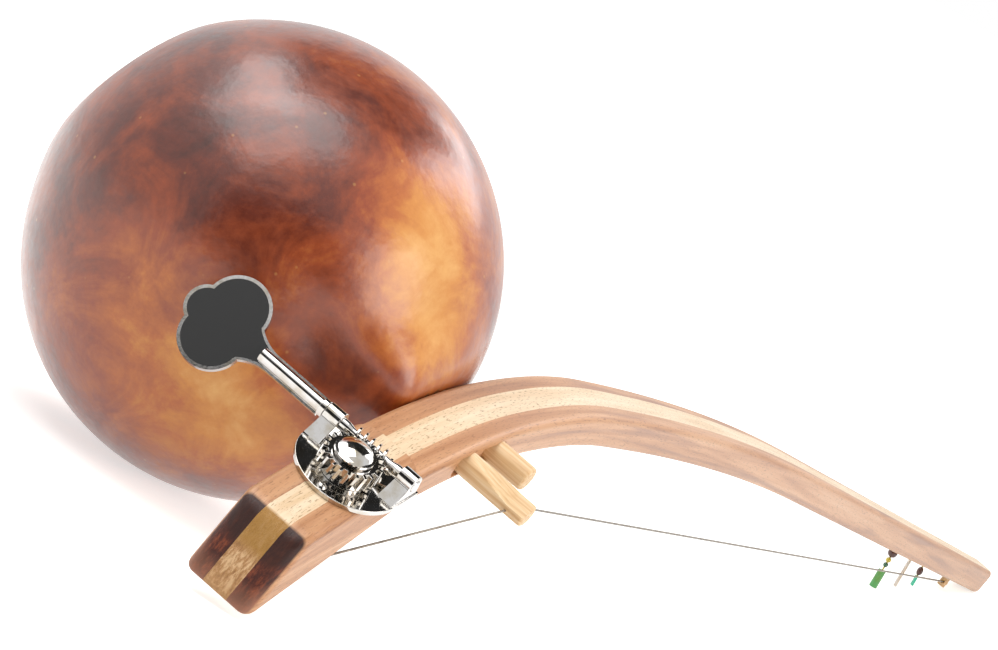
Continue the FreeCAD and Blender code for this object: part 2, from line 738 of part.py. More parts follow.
def make_ferrule():
    """Bush that the post turns in, flush in the belly with a thin flange on it."""
    mouth = belly_height(size("tuner_x")) - 0.75
    top = mouth + size("ferrule_length")
    inner = size("post_radius") + size("running_gap")
    outer, flange = size("ferrule_radius"), size("ferrule_flange")
    corners = [(inner, mouth - 1.2), (flange, mouth - 1.2), (flange, mouth - 0.2), (outer, mouth - 0.2),
               (outer, top), (inner, top)]
    return register(revolved("post_ferrule", polygon(corners)), "post_ferrule", tuner_place())


def make_winding():
    """Turns of string on the post's spool, as a group of rings."""
    wire = size("string_diameter") / 2
    rings = []
    upper, lower = spool_heights()
    middle = (upper + lower) / 2
    turns = int(size("winding_turns"))
    for number in range(turns):
        ring = doc.addObject("Part::Torus", f"turn_{number + 1}")
        ring.Radius1 = size("post_waist") + wire + 0.05
        ring.Radius2 = wire
        height = middle + (number - (turns - 1) / 2) * (size("string_diameter") + 0.04)
        ring.Placement = moved(0, 0, height)
        rings.append(ring)
    group = doc.addObject("Part::Compound", "winding")
    group.Links = rings
    return register(group, "string_winding", tuner_place())


def screw_dome(x, y, top, radius):
    """Edge over a pan head, from its rim to its crown."""
    arc = dome_arc(radius, 0.0, 1.1).toShape()
    arc.Placement = Placement(Vector(x, y, top), Rotation(X, 90))
    return arc


def make_screws():
    """Wood screws of the plate: pan heads on plain shanks, as a group."""
    top = size("plate_thickness")
    screws = []
    for number, (x, y) in enumerate(screw_places(), start=1):
        head, shank = size("screw_head_radius"), size("screw_shank_radius")
        profile = Part.Wire([
            Part.makeLine(Vector(x, y, top - size("screw_length")), Vector(x + shank, y, top - size("screw_length") + 2)),
            Part.makeLine(Vector(x + shank, y, top - size("screw_length") + 2), Vector(x + shank, y, top)),
            Part.makeLine(Vector(x + shank, y, top), Vector(x + head, y, top)),
            screw_dome(x, y, top, head),
            Part.makeLine(Vector(x, y, top + 1.1), Vector(x, y, top - size("screw_length"))),
        ])
        turned_solid = Part.Face(profile).revolve(Vector(x, y, 0), Z, 360)
        slot = Part.makeBox(2 * head, 0.5, 1.0, Vector(x - head, y - 0.25, top + 0.6))
        slot.rotate(Vector(x, y, 0), Z, 35.0 * number)
        screws.append(turned_solid.cut(slot))
    group = doc.addObject("Part::Feature", "screws")
    group.Shape = Part.makeCompound(screws)
    return register(group, "tuner_screws", tuner_place())


def worm_place():
    """Frame of the worm: its Z is the shaft's axis and looks towards the key."""
    return tuner_place().multiply(Placement(Vector(worm_offset(), 0, size("worm_height")), Rotation(X, -90)))


def make_worm():
    """Shaft with a helical thread, journals, a collar seat and a tang for the key."""
    core, journal, tang = size("worm_core"), size("journal_radius"), size("tang_radius")
    half, inner, outer = gear_pitch() * size("worm_turns") / 2, size("lug_inner"), size("lug_outer")
    far = outer + 0.3 + size("collar_ring_length")
    shaft = revolved("worm_shaft", polygon([
        (0, -outer - 0.4), (journal - 0.4, -outer - 0.4), (journal, -outer), (journal, -inner + 2.2),
        (core, -half - 1.0), (core, half + 1.0), (journal, inner - 2.2), (journal, far), (tang, far),
        (tang, far + size("tang_length")), (0, far + size("tang_length"))]))
    doc.recompute()
    thread = new_sketch(shaft, "thread_section", "XZ_Plane")
    crest, foot = size("worm_outer"), core - 0.15
    section = [(foot, -0.80), (crest, -0.34), (crest, 0.34), (foot, 0.80)]
    add_edges(thread, polygon([(u, v - half) for u, v in section]))
    helix = shaft.newObject("PartDesign::AdditiveHelix", "thread")
    helix.Profile = thread
    helix.ReferenceAxis = (thread, ["V_Axis"])
    helix.Mode = 0
    helix.Pitch = gear_pitch()
    helix.Height = 2 * half
    doc.recompute()
    return register(shaft, "worm_shaft", worm_place().multiply(turned(Z, 0.0)))


def make_worm_collar():
    start = size("lug_outer") + 0.2
    ring = cylinder("collar_disc", moved(0, 0, start), "Sizes.collar_ring_radius", "Sizes.collar_ring_length")
    bore = cylinder("collar_bore", moved(0, 0, start - 1), "Sizes.journal_radius + Sizes.running_gap",
                    "Sizes.collar_ring_length + 2")
    return register(cut("collar", ring, bore), "worm_collar", worm_place())


def key_place():
    """Frame of the key: X across its face, Z along the shaft, Y out of its back."""
    return worm_place().multiply(turned(Z, -size("key_turn_rest")))


def clover(name, shrink, low, thickness):
    """Cloverleaf slab: two side lobes, an end lobe and a tapering neck; shrink insets its outline."""
    face = Placement(Vector(0, low, 0), Rotation(X, -90))
    lobes = [(size("lobe_side_spread"), size("lobe_side_reach"), size("lobe_side_radius")),
             (-size("lobe_side_spread"), size("lobe_side_reach"), size("lobe_side_radius")),
             (0.0, size("lobe_end_reach"), size("lobe_end_radius"))]
    discs = [cylinder(f"{name}_lobe_{n}", face.multiply(moved(x, -z, 0)), radius - shrink, thickness)
             for n, (x, z, radius) in enumerate(lobes, start=1)]
    start = size("lug_outer") + 0.2 + size("collar_ring_length") + 0.3 + 6 * shrink
    neck, reach = size("neck_half_width") - shrink * 0.8, size("lobe_side_reach")
    wide = size("lobe_side_spread") + 0.42 * size("lobe_side_radius") - shrink
    low_z, high_z = reach - 22.0, reach - 7.5
    spread, rise = wide - neck, high_z - low_z
    bend = (spread ** 2 + rise ** 2) / (2 * spread)
    half = math.asin(rise / bend) / 2
    middle = Vector(neck + bend - bend * math.cos(half), low, low_z + bend * math.sin(half))
    right = [Vector(neck, low, start), Vector(neck, low, low_z), middle, Vector(wide, low, high_z),
             Vector(wide, low, reach)]
    left = [Vector(-point.x, point.y, point.z) for point in right]
    edges = [Part.makeLine(left[0], right[0]), Part.makeLine(right[0], right[1]),
             Part.Arc(*right[1:4]).toShape(), Part.makeLine(right[3], right[4]), Part.makeLine(right[4], left[4]),
             Part.makeLine(left[4], left[3]), Part.Arc(*reversed(left[1:4])).toShape(),
             Part.makeLine(left[1], left[0])]
    slab = doc.addObject("Part::Feature", f"{name}_neck")
    slab.Shape = Part.Face(Part.Wire(edges)).extrude(Vector(0, thickness, 0))
    return fuse(name, *discs, slab)


def make_key():
    """Key: round rod over a cloverleaf plate that is hollowed on both faces for its black inlays."""
    drop, thick, deep = size("key_drop"), size("key_thickness"), size("inlay_depth")
    start = size("lug_outer") + 0.2 + size("collar_ring_length") + 0.15
    rod = cylinder("key_rod", moved(0, 0, start), "Sizes.key_rod_radius", size("key_rod_end") - start)
    plate = clover("key_plate", 0.0, drop, thick)
    blank = fuse("key_blank", rod, plate)
    tang = cylinder("key_socket", moved(0, 0, start - 1), "Sizes.tang_radius + Sizes.dowel_fit",
                    "Sizes.tang_length + 1.5")
    rim = size("key_rim")
    rod_room = box("rod_room", moved(-size("key_rod_radius"), drop - 1, start),
                   "2 * Sizes.key_rod_radius", 1 + deep, size("key_rod_end") - start)
    front = cut("front_hollow", clover("front_hollow_blank", rim, drop - 0.01, deep + 0.01), rod_room)
    back = clover("back_hollow", rim, drop + thick - deep, deep + 0.01)
    key = cut("key", blank, tang, front, back)
    return register(key, "tuner_key", key_place())


def make_inlay(label, low, notch):
    """Black face of the key, a hair inside its hollow."""
    rim = size("key_rim") + 0.05
    slab = clover(f"{label}_slab", rim, low, size("inlay_depth") - 0.05)
    if notch:
        start = size("lug_outer")
        radius = size("key_rod_radius") + 0.1
        slab = cut(label, slab, box(f"{label}_notch", moved(-radius, low - 1, start), 2 * radius, 3.0,
                                    size("key_rod_end") + 0.1 - start))
    return register(slab, label, key_place())


# ---------------------------------------------------------------- string

def peg_string_points():
    """Mouths of the string dowel's hole, on the head's side and on the tip's side."""
    x, z = dowel_axis(size("string_peg_station"))
    y = -(half_width(x) + size("string_peg_reach") - size("string_hole_inset"))
    lean = math.radians(13.0)
    reach = size("dowel_diameter") / 2 + 0.35
    across = Vector(math.cos(lean) * reach, -0.09 * reach, -math.sin(lean) * reach)
    middle = Vector(x, y, z - 1.9)
    return middle - across, middle + across


def anchor_frame():
    """(point on the belly at the anchor, way straight out of the belly)."""
    x, z, slope = limb_point(size("anchor_station"), size("limb_thickness"))
    return Vector(x, 0, z), Vector(math.sin(slope), 0, -math.cos(slope))


def string_route():
    """Corners of the string from the post's spool through the dowel to the anchor pin."""
    first, second = peg_string_points()
    upper, lower = spool_heights()
    post = Vector(size("tuner_x"), 0, (upper + lower) / 2 + 1.26)
    way = first - post
    way.normalize()
    side = Vector(way.y, -way.x, 0)
    side.normalize()
    radius = size("post_waist") + size("string_diameter") * 1.5 + 0.2
    leave = post + side * radius - way * 1.5
    belly, out = anchor_frame()
    end = belly + out * size("anchor_string_drop")
    tail = end - second
    tail.normalize()
    return [leave, first, second, end + tail * (size("anchor_radius") + 0.4)]


def rounded_path(points, radii):
    """Wire of straight runs joined by tangent arcs at the inner points."""
    edges = []
    cursor = points[0]
    for before, corner, after, radius in zip(points, points[1:], points[2:], radii):
        back, ahead = (before - corner).normalize(), (after - corner).normalize()
        half = back.getAngle(ahead) / 2
        setback = radius / math.tan(half)
        start, stop = corner + back * setback, corner + ahead * setback
        bisector = (back + ahead).normalize()
        centre = corner + bisector * (radius / math.sin(half))
        middle = centre - bisector * radius
        edges += [Part.makeLine(cursor, start), Part.Arc(start, middle, stop).toShape()]
        cursor = stop
    edges.append(Part.makeLine(cursor, points[-1]))
    return Part.Wire(edges)


def tube(path, radius):
    """Solid of one radius along a wire."""
    start = path.Edges[0]
    way = start.tangentAt(start.FirstParameter)
    ring = Part.Wire(Part.makeCircle(radius, start.valueAt(start.FirstParameter), way))
    return path.makePipeShell([ring], True, True)


def make_string():
    route = string_route()
    path = rounded_path(route, [6.0, 6.0])
    string = doc.addObject("Part::Feature", "bow_string")
    string.Shape = tube(path, size("string_diameter") / 2)
    return register(string, "bow_string")


def bore_string_hole(peg):
    """Hole across the string dowel, along the string, and the saw kerf that leads to it."""
    first, second = peg_string_points()
    way = (second - first).normalize()
    bore = cylinder("string_hole_bore", Placement(first - way * 6, Rotation(Z, way)),
                    "Sizes.string_hole / 2", (second - first).Length + 12)
    return cut("string_dowel", peg, bore)


def make_anchor():
    """Anchor pin in the belly, cross-bored for the string."""
    belly, out = anchor_frame()
    start = belly - out * size("anchor_sunk")
    pin = cylinder("anchor_round", Placement(start, Rotation(Z, out)), "Sizes.anchor_radius",
                   "Sizes.anchor_sunk + Sizes.anchor_reach")
    route = string_route()
    way = (route[3] - route[2]).normalize()
    bore = cylinder("anchor_bore", Placement(route[3] - way * 12, Rotation(Z, way)), "Sizes.string_hole / 2", 24)
    return register(cut("anchor", pin, bore), "string_anchor")


def bore_anchor_hole(core):
    """Blind hole of the anchor pin in the middle ply."""
    belly, out = anchor_frame()
    bore = cylinder("anchor_socket", Placement(belly - out * (size("anchor_sunk") + 0.2), Rotation(Z, out)),
                    "Sizes.anchor_radius + Sizes.dowel_fit", FAR / 10)
    return cut("core", core, bore)


def make_ball():
    """Ball end that keeps the string in its anchor."""
    route = string_route()
    way = (route[3] - route[2]).normalize()
    ball = doc.addObject("Part::Sphere", "ball")
    bind(ball, Radius="Sizes.ball_radius")
    ball.Placement = Placement(route[3] + way * (size("ball_radius") + 0.05), NO_TURN)
    return register(ball, "string_ball")


# ---------------------------------------------------------------- tassels

def tassel_top(station):
    """Point on the belly that a tassel hangs from."""
    x, z, _ = limb_point(station, size("limb_thickness"))
    return Vector(x, size("tassel_offset"), z)


def hanging(station, drop, down):
    """Placement a distance under the belly whose own Z looks down."""
    return Placement(tassel_top(station) + down * drop, Rotation(Z, down))


def bead(name, station, drop, down, radius, stretch=1.0):
    """A round bead bored for its thread, stretched along the thread."""
    ball = doc.addObject("Part::Ellipsoid", f"{name}_ball")
    ball.Radius1 = radius * stretch
    ball.Radius2 = radius
    ball.Radius3 = radius
    ball.Placement = hanging(station, drop, down)
    bore = cylinder(f"{name}_bore", hanging(station, drop - 3 * radius, down), "Sizes.thread_radius + 0.03",
                    6 * radius)
    return cut(name, ball, bore)


def grouped(label, *nodes):
    group = doc.addObject("Part::Compound", label)
    group.Links = list(nodes)
    doc.recompute()
    return register(group, label)


def make_tassels(down):
    """Three tassels on threads that come out of small holes in the belly."""
    threads = []
    for name, station, length in TASSELS:
        threads.append(cylinder(f"{name}_thread", hanging(station, -size("thread_sunk"), down),
                                "Sizes.thread_radius", length + size("thread_sunk") - 1.0))
    grouped("tassel_threads", *threads)
    (_, one, one_long), (_, two, two_long), (_, three, three_long) = TASSELS
    grouped("tassel_wood_beads", bead("knot_bead", one, 2.7, down, 2.3),
            bead("oval_bead", three, 4.6, down, 1.5, 1.5))
    grouped("tassel_yellow_bead", bead("yellow_bead", one, 6.5, down, 1.3))
    grouped("tassel_green_bead", bead("green_bead", one, 9.1, down, 1.2))
    tube_start = one_long - size("tube_length")
    outside = cylinder("tube_outside", hanging(one, tube_start, down), "Sizes.tube_radius", "Sizes.tube_length")
    inside = cylinder("tube_inside", hanging(one, tube_start - 1, down), "Sizes.thread_radius + 0.03",
                      "Sizes.tube_length + 2")
    register(cut("green_tube", outside, inside), "tassel_tube")
    make_strip("tassel_teal_strip", three, 7.2, three_long - 7.2, down)
    make_strip("tassel_pale_strip", two, 1.0, two_long - 1.0, down)


def make_strip(label, station, drop, length, down):
    """A flat strip folded round its thread."""
    corner = moved(-size("strip_width") / 2, -size("strip_thickness") / 2, 0)
    blank = box(f"{label}_blank", hanging(station, drop, down).multiply(corner),
                "Sizes.strip_width", "Sizes.strip_thickness", length)
    bore = cylinder(f"{label}_bore", hanging(station, drop - 1, down), "Sizes.thread_radius + 0.02", length + 2)
    return register(cut(f"{label}_folded", blank, bore), label)


def bore_tassel_holes(core, down):
    holes = [cylinder(f"{name}_hole", hanging(station, -size("thread_sunk") - 0.1, down),
                      "Sizes.thread_radius + Sizes.dowel_fit", 10.0) for name, station, _ in TASSELS]
    return cut("core_tassel_holes", core, *holes)


# ---------------------------------------------------------------- build

def build_stave():
    """The two outer plies; the middle one waits for the tassels' direction."""
    half_core, half_head = size("core_width") / 2, size("head_width") / 2
    make_ply("bow_side_gourd", half_core, half_head)
    peg_side = make_ply("bow_side_peg", -half_head, -half_core)
    cut_recess(peg_side)


def build_gourd():
    make_gourd()
    string_peg = make_dowel("string_dowel_round", size("string_peg_station"), size("string_peg_reach"))
    register(bore_string_hole(string_peg), "string_peg")
    register(make_dowel("rest_dowel_round", size("rest_peg_station"), size("rest_peg_reach")), "rest_peg")
    make_collar("string_peg_collar", size("string_peg_station"))
    make_collar("rest_peg_collar", size("rest_peg_station"))
    make_lock_pins()


def build_tuner():
    make_tuner_plate()
    make_screws()
    make_gear()
    make_gear_cap()
    make_post()
    make_ferrule()
    make_winding()
    make_worm()
    make_worm_collar()
    make_key()
    make_inlay("key_inlay_front", size("key_drop"), True)
    make_inlay("key_inlay_back", size("key_drop") + size("key_thickness") - size("inlay_depth") + 0.05, False)


def build_string():
    make_string()
    make_anchor()
    make_ball()


def build_core_and_tassels(down):
    """Middle ply, bored for the string's anchor and the tassels, and what hangs from it."""
    half_core = size("core_width") / 2
    ply = make_ply("bow_core_ply", -half_core, half_core)
    NODES.pop()
    register(bore_tassel_holes(bore_anchor_hole(ply), down), "bow_core")
    make_tassels(down)


def node_points(label, low_x=-FAR, high_x=4 * FAR, step=0.4):
    """Mesh points of one sub-part in the stave's frame, between two places along it."""
    node, local = next(entry for entry in NODES if entry[0].Label == label)
    shape = node.Shape.copy()
    shape.Placement = local.multiply(node.Placement)
    return [p for p in shape.tessellate(step)[0] if low_x < p.x < high_x]


def resting_frame():
    """Placement that stands the stave's nose and tip and the side of the gourd on the table."""
    stave = node_points("bow_side_peg") + node_points("bow_side_gourd")
    nose = [p for p in stave if p.x < size("head_length")]
    tip = [p for p in stave if p.x > limb_point(limb_length() - 60.0)[0]]
    gourd = node_points("gourd_shell", step=0.2)
    turn = Rotation(Y, -25.0)
    for _ in range(12):
        low = [min(points, key=lambda p: turn.multVec(p).z) for points in (nose, tip, gourd)]
        normal = (low[1] - low[0]).cross(low[2] - low[0]).normalize()
        if turn.multVec(normal).z < 0:
            normal = -normal
        ahead = low[1] - low[0]
        ahead = (ahead - normal * ahead.dot(normal)).normalize()
        turn = Rotation(ahead, normal.cross(ahead), normal, "XYZ").inverted()
    return Placement(Vector(), turn)


def stand_up(frame):
    """Places every sub-part on the table, with the middle of the bow's footprint at the origin."""
    bounds = FreeCAD.BoundBox()
    for node, local in NODES:
        node.Placement = frame.multiply(local).multiply(node.Placement)
        bounds.add(node.Shape.optimalBoundingBox(False))
    shift = moved(-(bounds.XMin + bounds.XMax) / 2, -(bounds.YMin + bounds.YMax) / 2, -bounds.ZMin)
    for node, _ in NODES:
        node.Placement = shift.multiply(node.Placement)
    return shift.multiply(frame)


def report_points(frame):
    """Prints the joint axes and the places that fastenings start from, in the bow's final frame."""
    worm = worm_place()
    gear = tuner_place()
    rows = {
        "worm axis": (worm.Base, worm.Rotation.multVec(Z)),
        "gear axis": (gear.Base, Z),
        "mouth rim": (gourd_centre() + mouth_axis() * mouth_distance(), mouth_axis()),
        "anchor": anchor_frame(),
    }
    for name, (point, way) in rows.items():
        print(name, [round(c, 4) for c in frame.multVec(point)], [round(c, 6) for c in frame.Rotation.multVec(way)])
    print("string route", [[round(c, 3) for c in frame.multVec(p)] for p in string_route()])
    print("frame", [round(c, 5) for c in frame.Base], [round(c, 7) for c in frame.Rotation.Q])


def check_document():
    """Stops if any feature failed or any sub-part is empty or broken."""
    for thing in doc.Objects:
        if {"Invalid", "Error"} & set(thing.State):
            raise RuntimeError(f"{thing.Label} failed: {thing.State}")
    for node, _ in NODES:
        if node.Shape.isNull() or not node.Shape.isValid() or not node.Shape.Solids:
            raise RuntimeError(f"{node.Label} has no sound shape")


def write_parts():
    os.makedirs("parts", exist_ok=True)
    for node, _ in NODES:
        node.Shape.exportStep(f"parts/{node.Label}.step")
        print(node.Label, len(node.Shape.Solids), round(node.Shape.Volume, 2))


build_stave()
build_gourd()
build_tuner()
build_string()
doc.recompute()
standing = resting_frame()
build_core_and_tassels(standing.Rotation.inverted().multVec(-Z))
doc.recompute()
check_document()
report_points(stand_up(standing))
check_document()
write_parts()
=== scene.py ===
"""Looks of a gourd-resonated musical bow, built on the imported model's frame.

Lengths in the classes are millimetres in the stave's own frame: its origin is the crease where the nose
meets the flat of the head, X runs along the head towards the tip, Y points to the gourd and Z out of the
stave's back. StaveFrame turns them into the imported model's metres.
"""
import json
import logging
import math
from collections.abc import Mapping, Sequence
from dataclasses import dataclass
from enum import Enum

import bmesh
import bpy
import numpy as np
from mathutils import Matrix, Vector


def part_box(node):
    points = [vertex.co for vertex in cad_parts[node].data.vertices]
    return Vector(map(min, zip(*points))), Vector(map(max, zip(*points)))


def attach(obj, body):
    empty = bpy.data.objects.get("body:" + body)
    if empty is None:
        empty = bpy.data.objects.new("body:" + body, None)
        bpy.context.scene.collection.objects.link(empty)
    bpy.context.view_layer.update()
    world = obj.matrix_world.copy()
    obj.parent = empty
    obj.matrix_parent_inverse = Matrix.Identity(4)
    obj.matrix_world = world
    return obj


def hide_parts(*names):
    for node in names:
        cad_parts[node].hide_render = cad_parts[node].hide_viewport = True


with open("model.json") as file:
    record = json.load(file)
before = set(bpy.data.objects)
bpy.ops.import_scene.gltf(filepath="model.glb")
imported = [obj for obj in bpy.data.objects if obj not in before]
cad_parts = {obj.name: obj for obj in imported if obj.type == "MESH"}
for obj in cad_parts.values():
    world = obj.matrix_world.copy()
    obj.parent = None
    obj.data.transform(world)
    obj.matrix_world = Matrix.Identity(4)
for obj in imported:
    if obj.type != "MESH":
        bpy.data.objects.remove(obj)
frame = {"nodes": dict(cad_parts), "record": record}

LOG = logging.getLogger("musical_bow")
MM = 0.001
GEAR_X = 39.0
THINNEST_PLY = 0.05


class Body(Enum):
    """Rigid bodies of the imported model."""

    BOW = "bow"
    KEY = "key"
    POST = "post"


# ------------------------------------------------------------------ frame and meshes


@dataclass(frozen=True)
class StaveFrame:
    """The stave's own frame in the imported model's frame.

    Attributes:
        origin: Crease of the nose, in metres.
        axes: Rows are the stave's X, Y and Z directions.
    """

    origin: np.ndarray
    axes: np.ndarray

    @classmethod
    def from_joints(cls, gear_x: float) -> "StaveFrame":
        """Works the frame out from the worm's and the post's joints.

        Args:
            gear_x: Distance of the gear's axis from the nose crease.

        Returns:
            The frame whose Z is the post's axis and whose Y is the worm's.
        """
        joints = {joint["name"]: joint for joint in frame["record"]["behaviour"]["joints"]}
        up = np.array(joints["post_turn"]["axis"], float)
        across = np.array(joints["key_turn"]["axis"], float)
        up /= np.linalg.norm(up)
        across -= up * (across @ up)
        across /= np.linalg.norm(across)
        along = np.cross(across, up)
        origin = np.array(joints["post_turn"]["pos_m"], float) - along * gear_x * MM
        return cls(origin, np.stack([along, across, up]))

    def world(self, points: np.ndarray) -> np.ndarray:
        """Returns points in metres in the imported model's frame."""
        return self.origin + (np.asarray(points, float) * MM) @ self.axes

    def direction(self, way: Sequence[float]) -> Vector:
        """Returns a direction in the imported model's frame."""
        return Vector((np.asarray(way, float) @ self.axes).tolist())

    def turn(self) -> tuple[float, float, float]:
        """Returns the Euler angles that a Mapping node needs to follow the stave's axes."""
        return tuple(Matrix(self.axes.tolist()).to_euler())


def surface(
    name: str,
    grid: np.ndarray,
    attributes: Mapping[str, np.ndarray] | None = None,
    caps: bool = True,
    sharp: float = 35.0,
) -> bpy.types.Object:
    """Makes a closed skin from rings of points, joined ring to ring.

    Args:
        name: Name of the piece.
        grid: Points in metres, shaped (rings, points round, 3).
        attributes: Values for each point, shaped (rings, points round) or with a last axis of 3.
        caps: Whether the first and the last ring are filled.
        sharp: Angle in degrees past which an edge stays crisp.

    Returns:
        The new object, smooth shaded, with its faces pointing outwards.
    """
    rings, count = grid.shape[:2]
    index = np.arange(rings * count).reshape(rings, count)
    after = np.roll(index, -1, axis=1)
    faces = np.stack([index[:-1], after[:-1], after[1:], index[1:]], axis=-1).reshape(-1, 4).tolist()
    if caps:
        faces += [index[0, ::-1].tolist(), index[-1].tolist()]
    mesh = bpy.data.meshes.new(name)
    mesh.from_pydata(grid.reshape(-1, 3).tolist(), [], faces)
    for label, values in (attributes or {}).items():
        kind, field_name = ("FLOAT_VECTOR", "vector") if values.ndim == 3 else ("FLOAT", "value")
        layer = mesh.attributes.new(label, kind, "POINT")
        layer.data.foreach_set(field_name, np.ascontiguousarray(values, np.float32).ravel())
    return finished(name, mesh, sharp)


def finished(name: str, mesh: bpy.types.Mesh, sharp: float) -> bpy.types.Object:
    """Welds a mesh, turns its faces outwards and shades it smooth up to an angle.

    Args:
        name: Name of the piece.
        mesh: Mesh to finish.
        sharp: Angle in degrees past which an edge stays crisp.

    Returns:
        An object that holds the mesh, at the origin.
    """
    work = bmesh.new()
    work.from_mesh(mesh)
    bmesh.ops.remove_doubles(work, verts=work.verts, dist=1e-7)
    bmesh.ops.dissolve_degenerate(work, edges=work.edges, dist=1e-8)
    bmesh.ops.recalc_face_normals(work, faces=work.faces)
    work.to_mesh(mesh)
    work.free()
    mesh.shade_smooth()
    mesh.set_sharp_from_angle(angle=math.radians(sharp))
    piece = bpy.data.objects.new(name, mesh)
    bpy.context.scene.collection.objects.link(piece)
    return piece


def refined(node: str, body: Body, bevel: float) -> bpy.types.Object:
    """Replaces a CAD node with a welded, smooth copy whose edges are slightly broken.

    The copy drops the stored normals, which would shade its thin flat faces in fans.

    Args:
        node: Name of the CAD node.
        body: Body that the copy rides on.
        bevel: Width of the broken edges in mm, or 0 for none.

    Returns:
        The copy, named after its node.
    """
    mesh = frame["nodes"][node].data.copy()
    mesh.materials.clear()
    stored = mesh.attributes.get("custom_normal")
    if stored:
        mesh.attributes.remove(stored)
    piece = finished(f"{node}_skin", mesh, 30.0)
    if bevel:
        edges = piece.modifiers.new("broken_edges", "BEVEL")
        edges.width = bevel * MM
        edges.segments = 2
        edges.limit_method = "ANGLE"
        edges.angle_limit = math.radians(40)
        edges.harden_normals = True
    adopt(piece, body, node)
    return piece


def square(name: str, half: float) -> bpy.types.Object:
    """Makes a level square sheet about the origin.

    Args:
        name: Name of the sheet and of its mesh.
        half: Half its side in metres.

    Returns:
        The sheet, with no material yet.
    """
    mesh = bpy.data.meshes.new(name)
    corners = [(-half, -half, 0), (half, -half, 0), (half, half, 0), (-half, half, 0)]
    mesh.from_pydata(corners, [], [(0, 1, 2, 3)])
    sheet = bpy.data.objects.new(name, mesh)
    bpy.context.scene.collection.objects.link(sheet)
    return sheet


def adopt(piece: bpy.types.Object, body: Body, *nodes: str) -> None:
    """Lets a piece ride on its body in the place of CAD nodes."""
    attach(piece, body.value)
    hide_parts(*nodes)


def smooth_step(low: float, high: float, value: np.ndarray) -> np.ndarray:
    """Returns 0 below low, 1 above high and a smooth cubic between."""
    share = np.clip((value - low) / (high - low), 0, 1)
    return share * share * (3 - 2 * share)


# ------------------------------------------------------------------ finishes


def linear(code: str, alpha: float = 1.0) -> tuple[float, float, float, float]:
    """Turns an sRGB hex colour into linear light."""
    parts = [int(code[place:place + 2], 16) / 255 for place in (1, 3, 5)]
    return (*(part / 12.92 if part <= 0.04045 else ((part + 0.055) / 1.055) ** 2.4 for part in parts), alpha)


def add(
    tree: bpy.types.NodeTree,
    kind: str,
    settings: Mapping[str, object] | None = None,
    inputs: Mapping[str | int, object] | None = None,
    stops: Sequence[tuple[float, str]] = (),
) -> bpy.types.Node:
    """Adds one node with its settings, values and links.

    Args:
        tree: Node tree of the material or the world.
        kind: Blender's name of the node.
        settings: Properties of the node.
        inputs: Values or output sockets for the node's inputs.
        stops: (place, hex colour) pairs of a colour ramp.

    Returns:
        The new node.
    """
    made = tree.nodes.new(kind)
    for key, value in (settings or {}).items():
        setattr(made, key, value)
    for key, value in (inputs or {}).items():
        if isinstance(value, bpy.types.NodeSocket):
            tree.links.new(value, made.inputs[key])
        else:
            made.inputs[key].default_value = value
    if stops:
        elements = made.color_ramp.elements
        while len(elements) < len(stops):
            elements.new(0.5)
        for element, (place, code) in zip(elements, stops):
            element.position = place
            element.color = linear(code)
    return made


def blank_material(title: str) -> bpy.types.Material:
    """Makes a material with an empty node tree.

    Args:
        title: Name of the material.

    Returns:
        The new material.
    """
    made = bpy.data.materials.new(title)
    made.use_nodes = True
    made.node_tree.nodes.clear()
    return made


@dataclass(frozen=True)
class Finish:
    """A surface finish that makes one material.

    Attributes:
        title: Name of the material, after what the real one is.
        slot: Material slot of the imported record.
    """

    title: str
    slot: str

    def material(self) -> bpy.types.Material:
        """Makes the material once for each title.

        Returns:
            The material, new or as it was made before.
        """
        made = bpy.data.materials.get(self.title)
        if made is None:
            made = blank_material(self.title)
            tree = made.node_tree
            shader = add(tree, "ShaderNodeBsdfPrincipled")
            add(tree, "ShaderNodeOutputMaterial", inputs={"Surface": shader.outputs[0]})
            self.paint(tree, shader)
        return made

    def paint(self, tree: bpy.types.NodeTree, shader: bpy.types.Node) -> None:
        """Adds the finish's nodes before the shader.

        Args:
            tree: Node tree of the material.
            shader: Its Principled shader.
        """
        raise NotImplementedError

    def dress(self, piece: bpy.types.Object) -> None:
        """Gives a piece this finish.

        Args:
            piece: Object whose mesh gets the material.
        """
        piece.data.materials.clear()
        piece.data.materials.append(self.material())


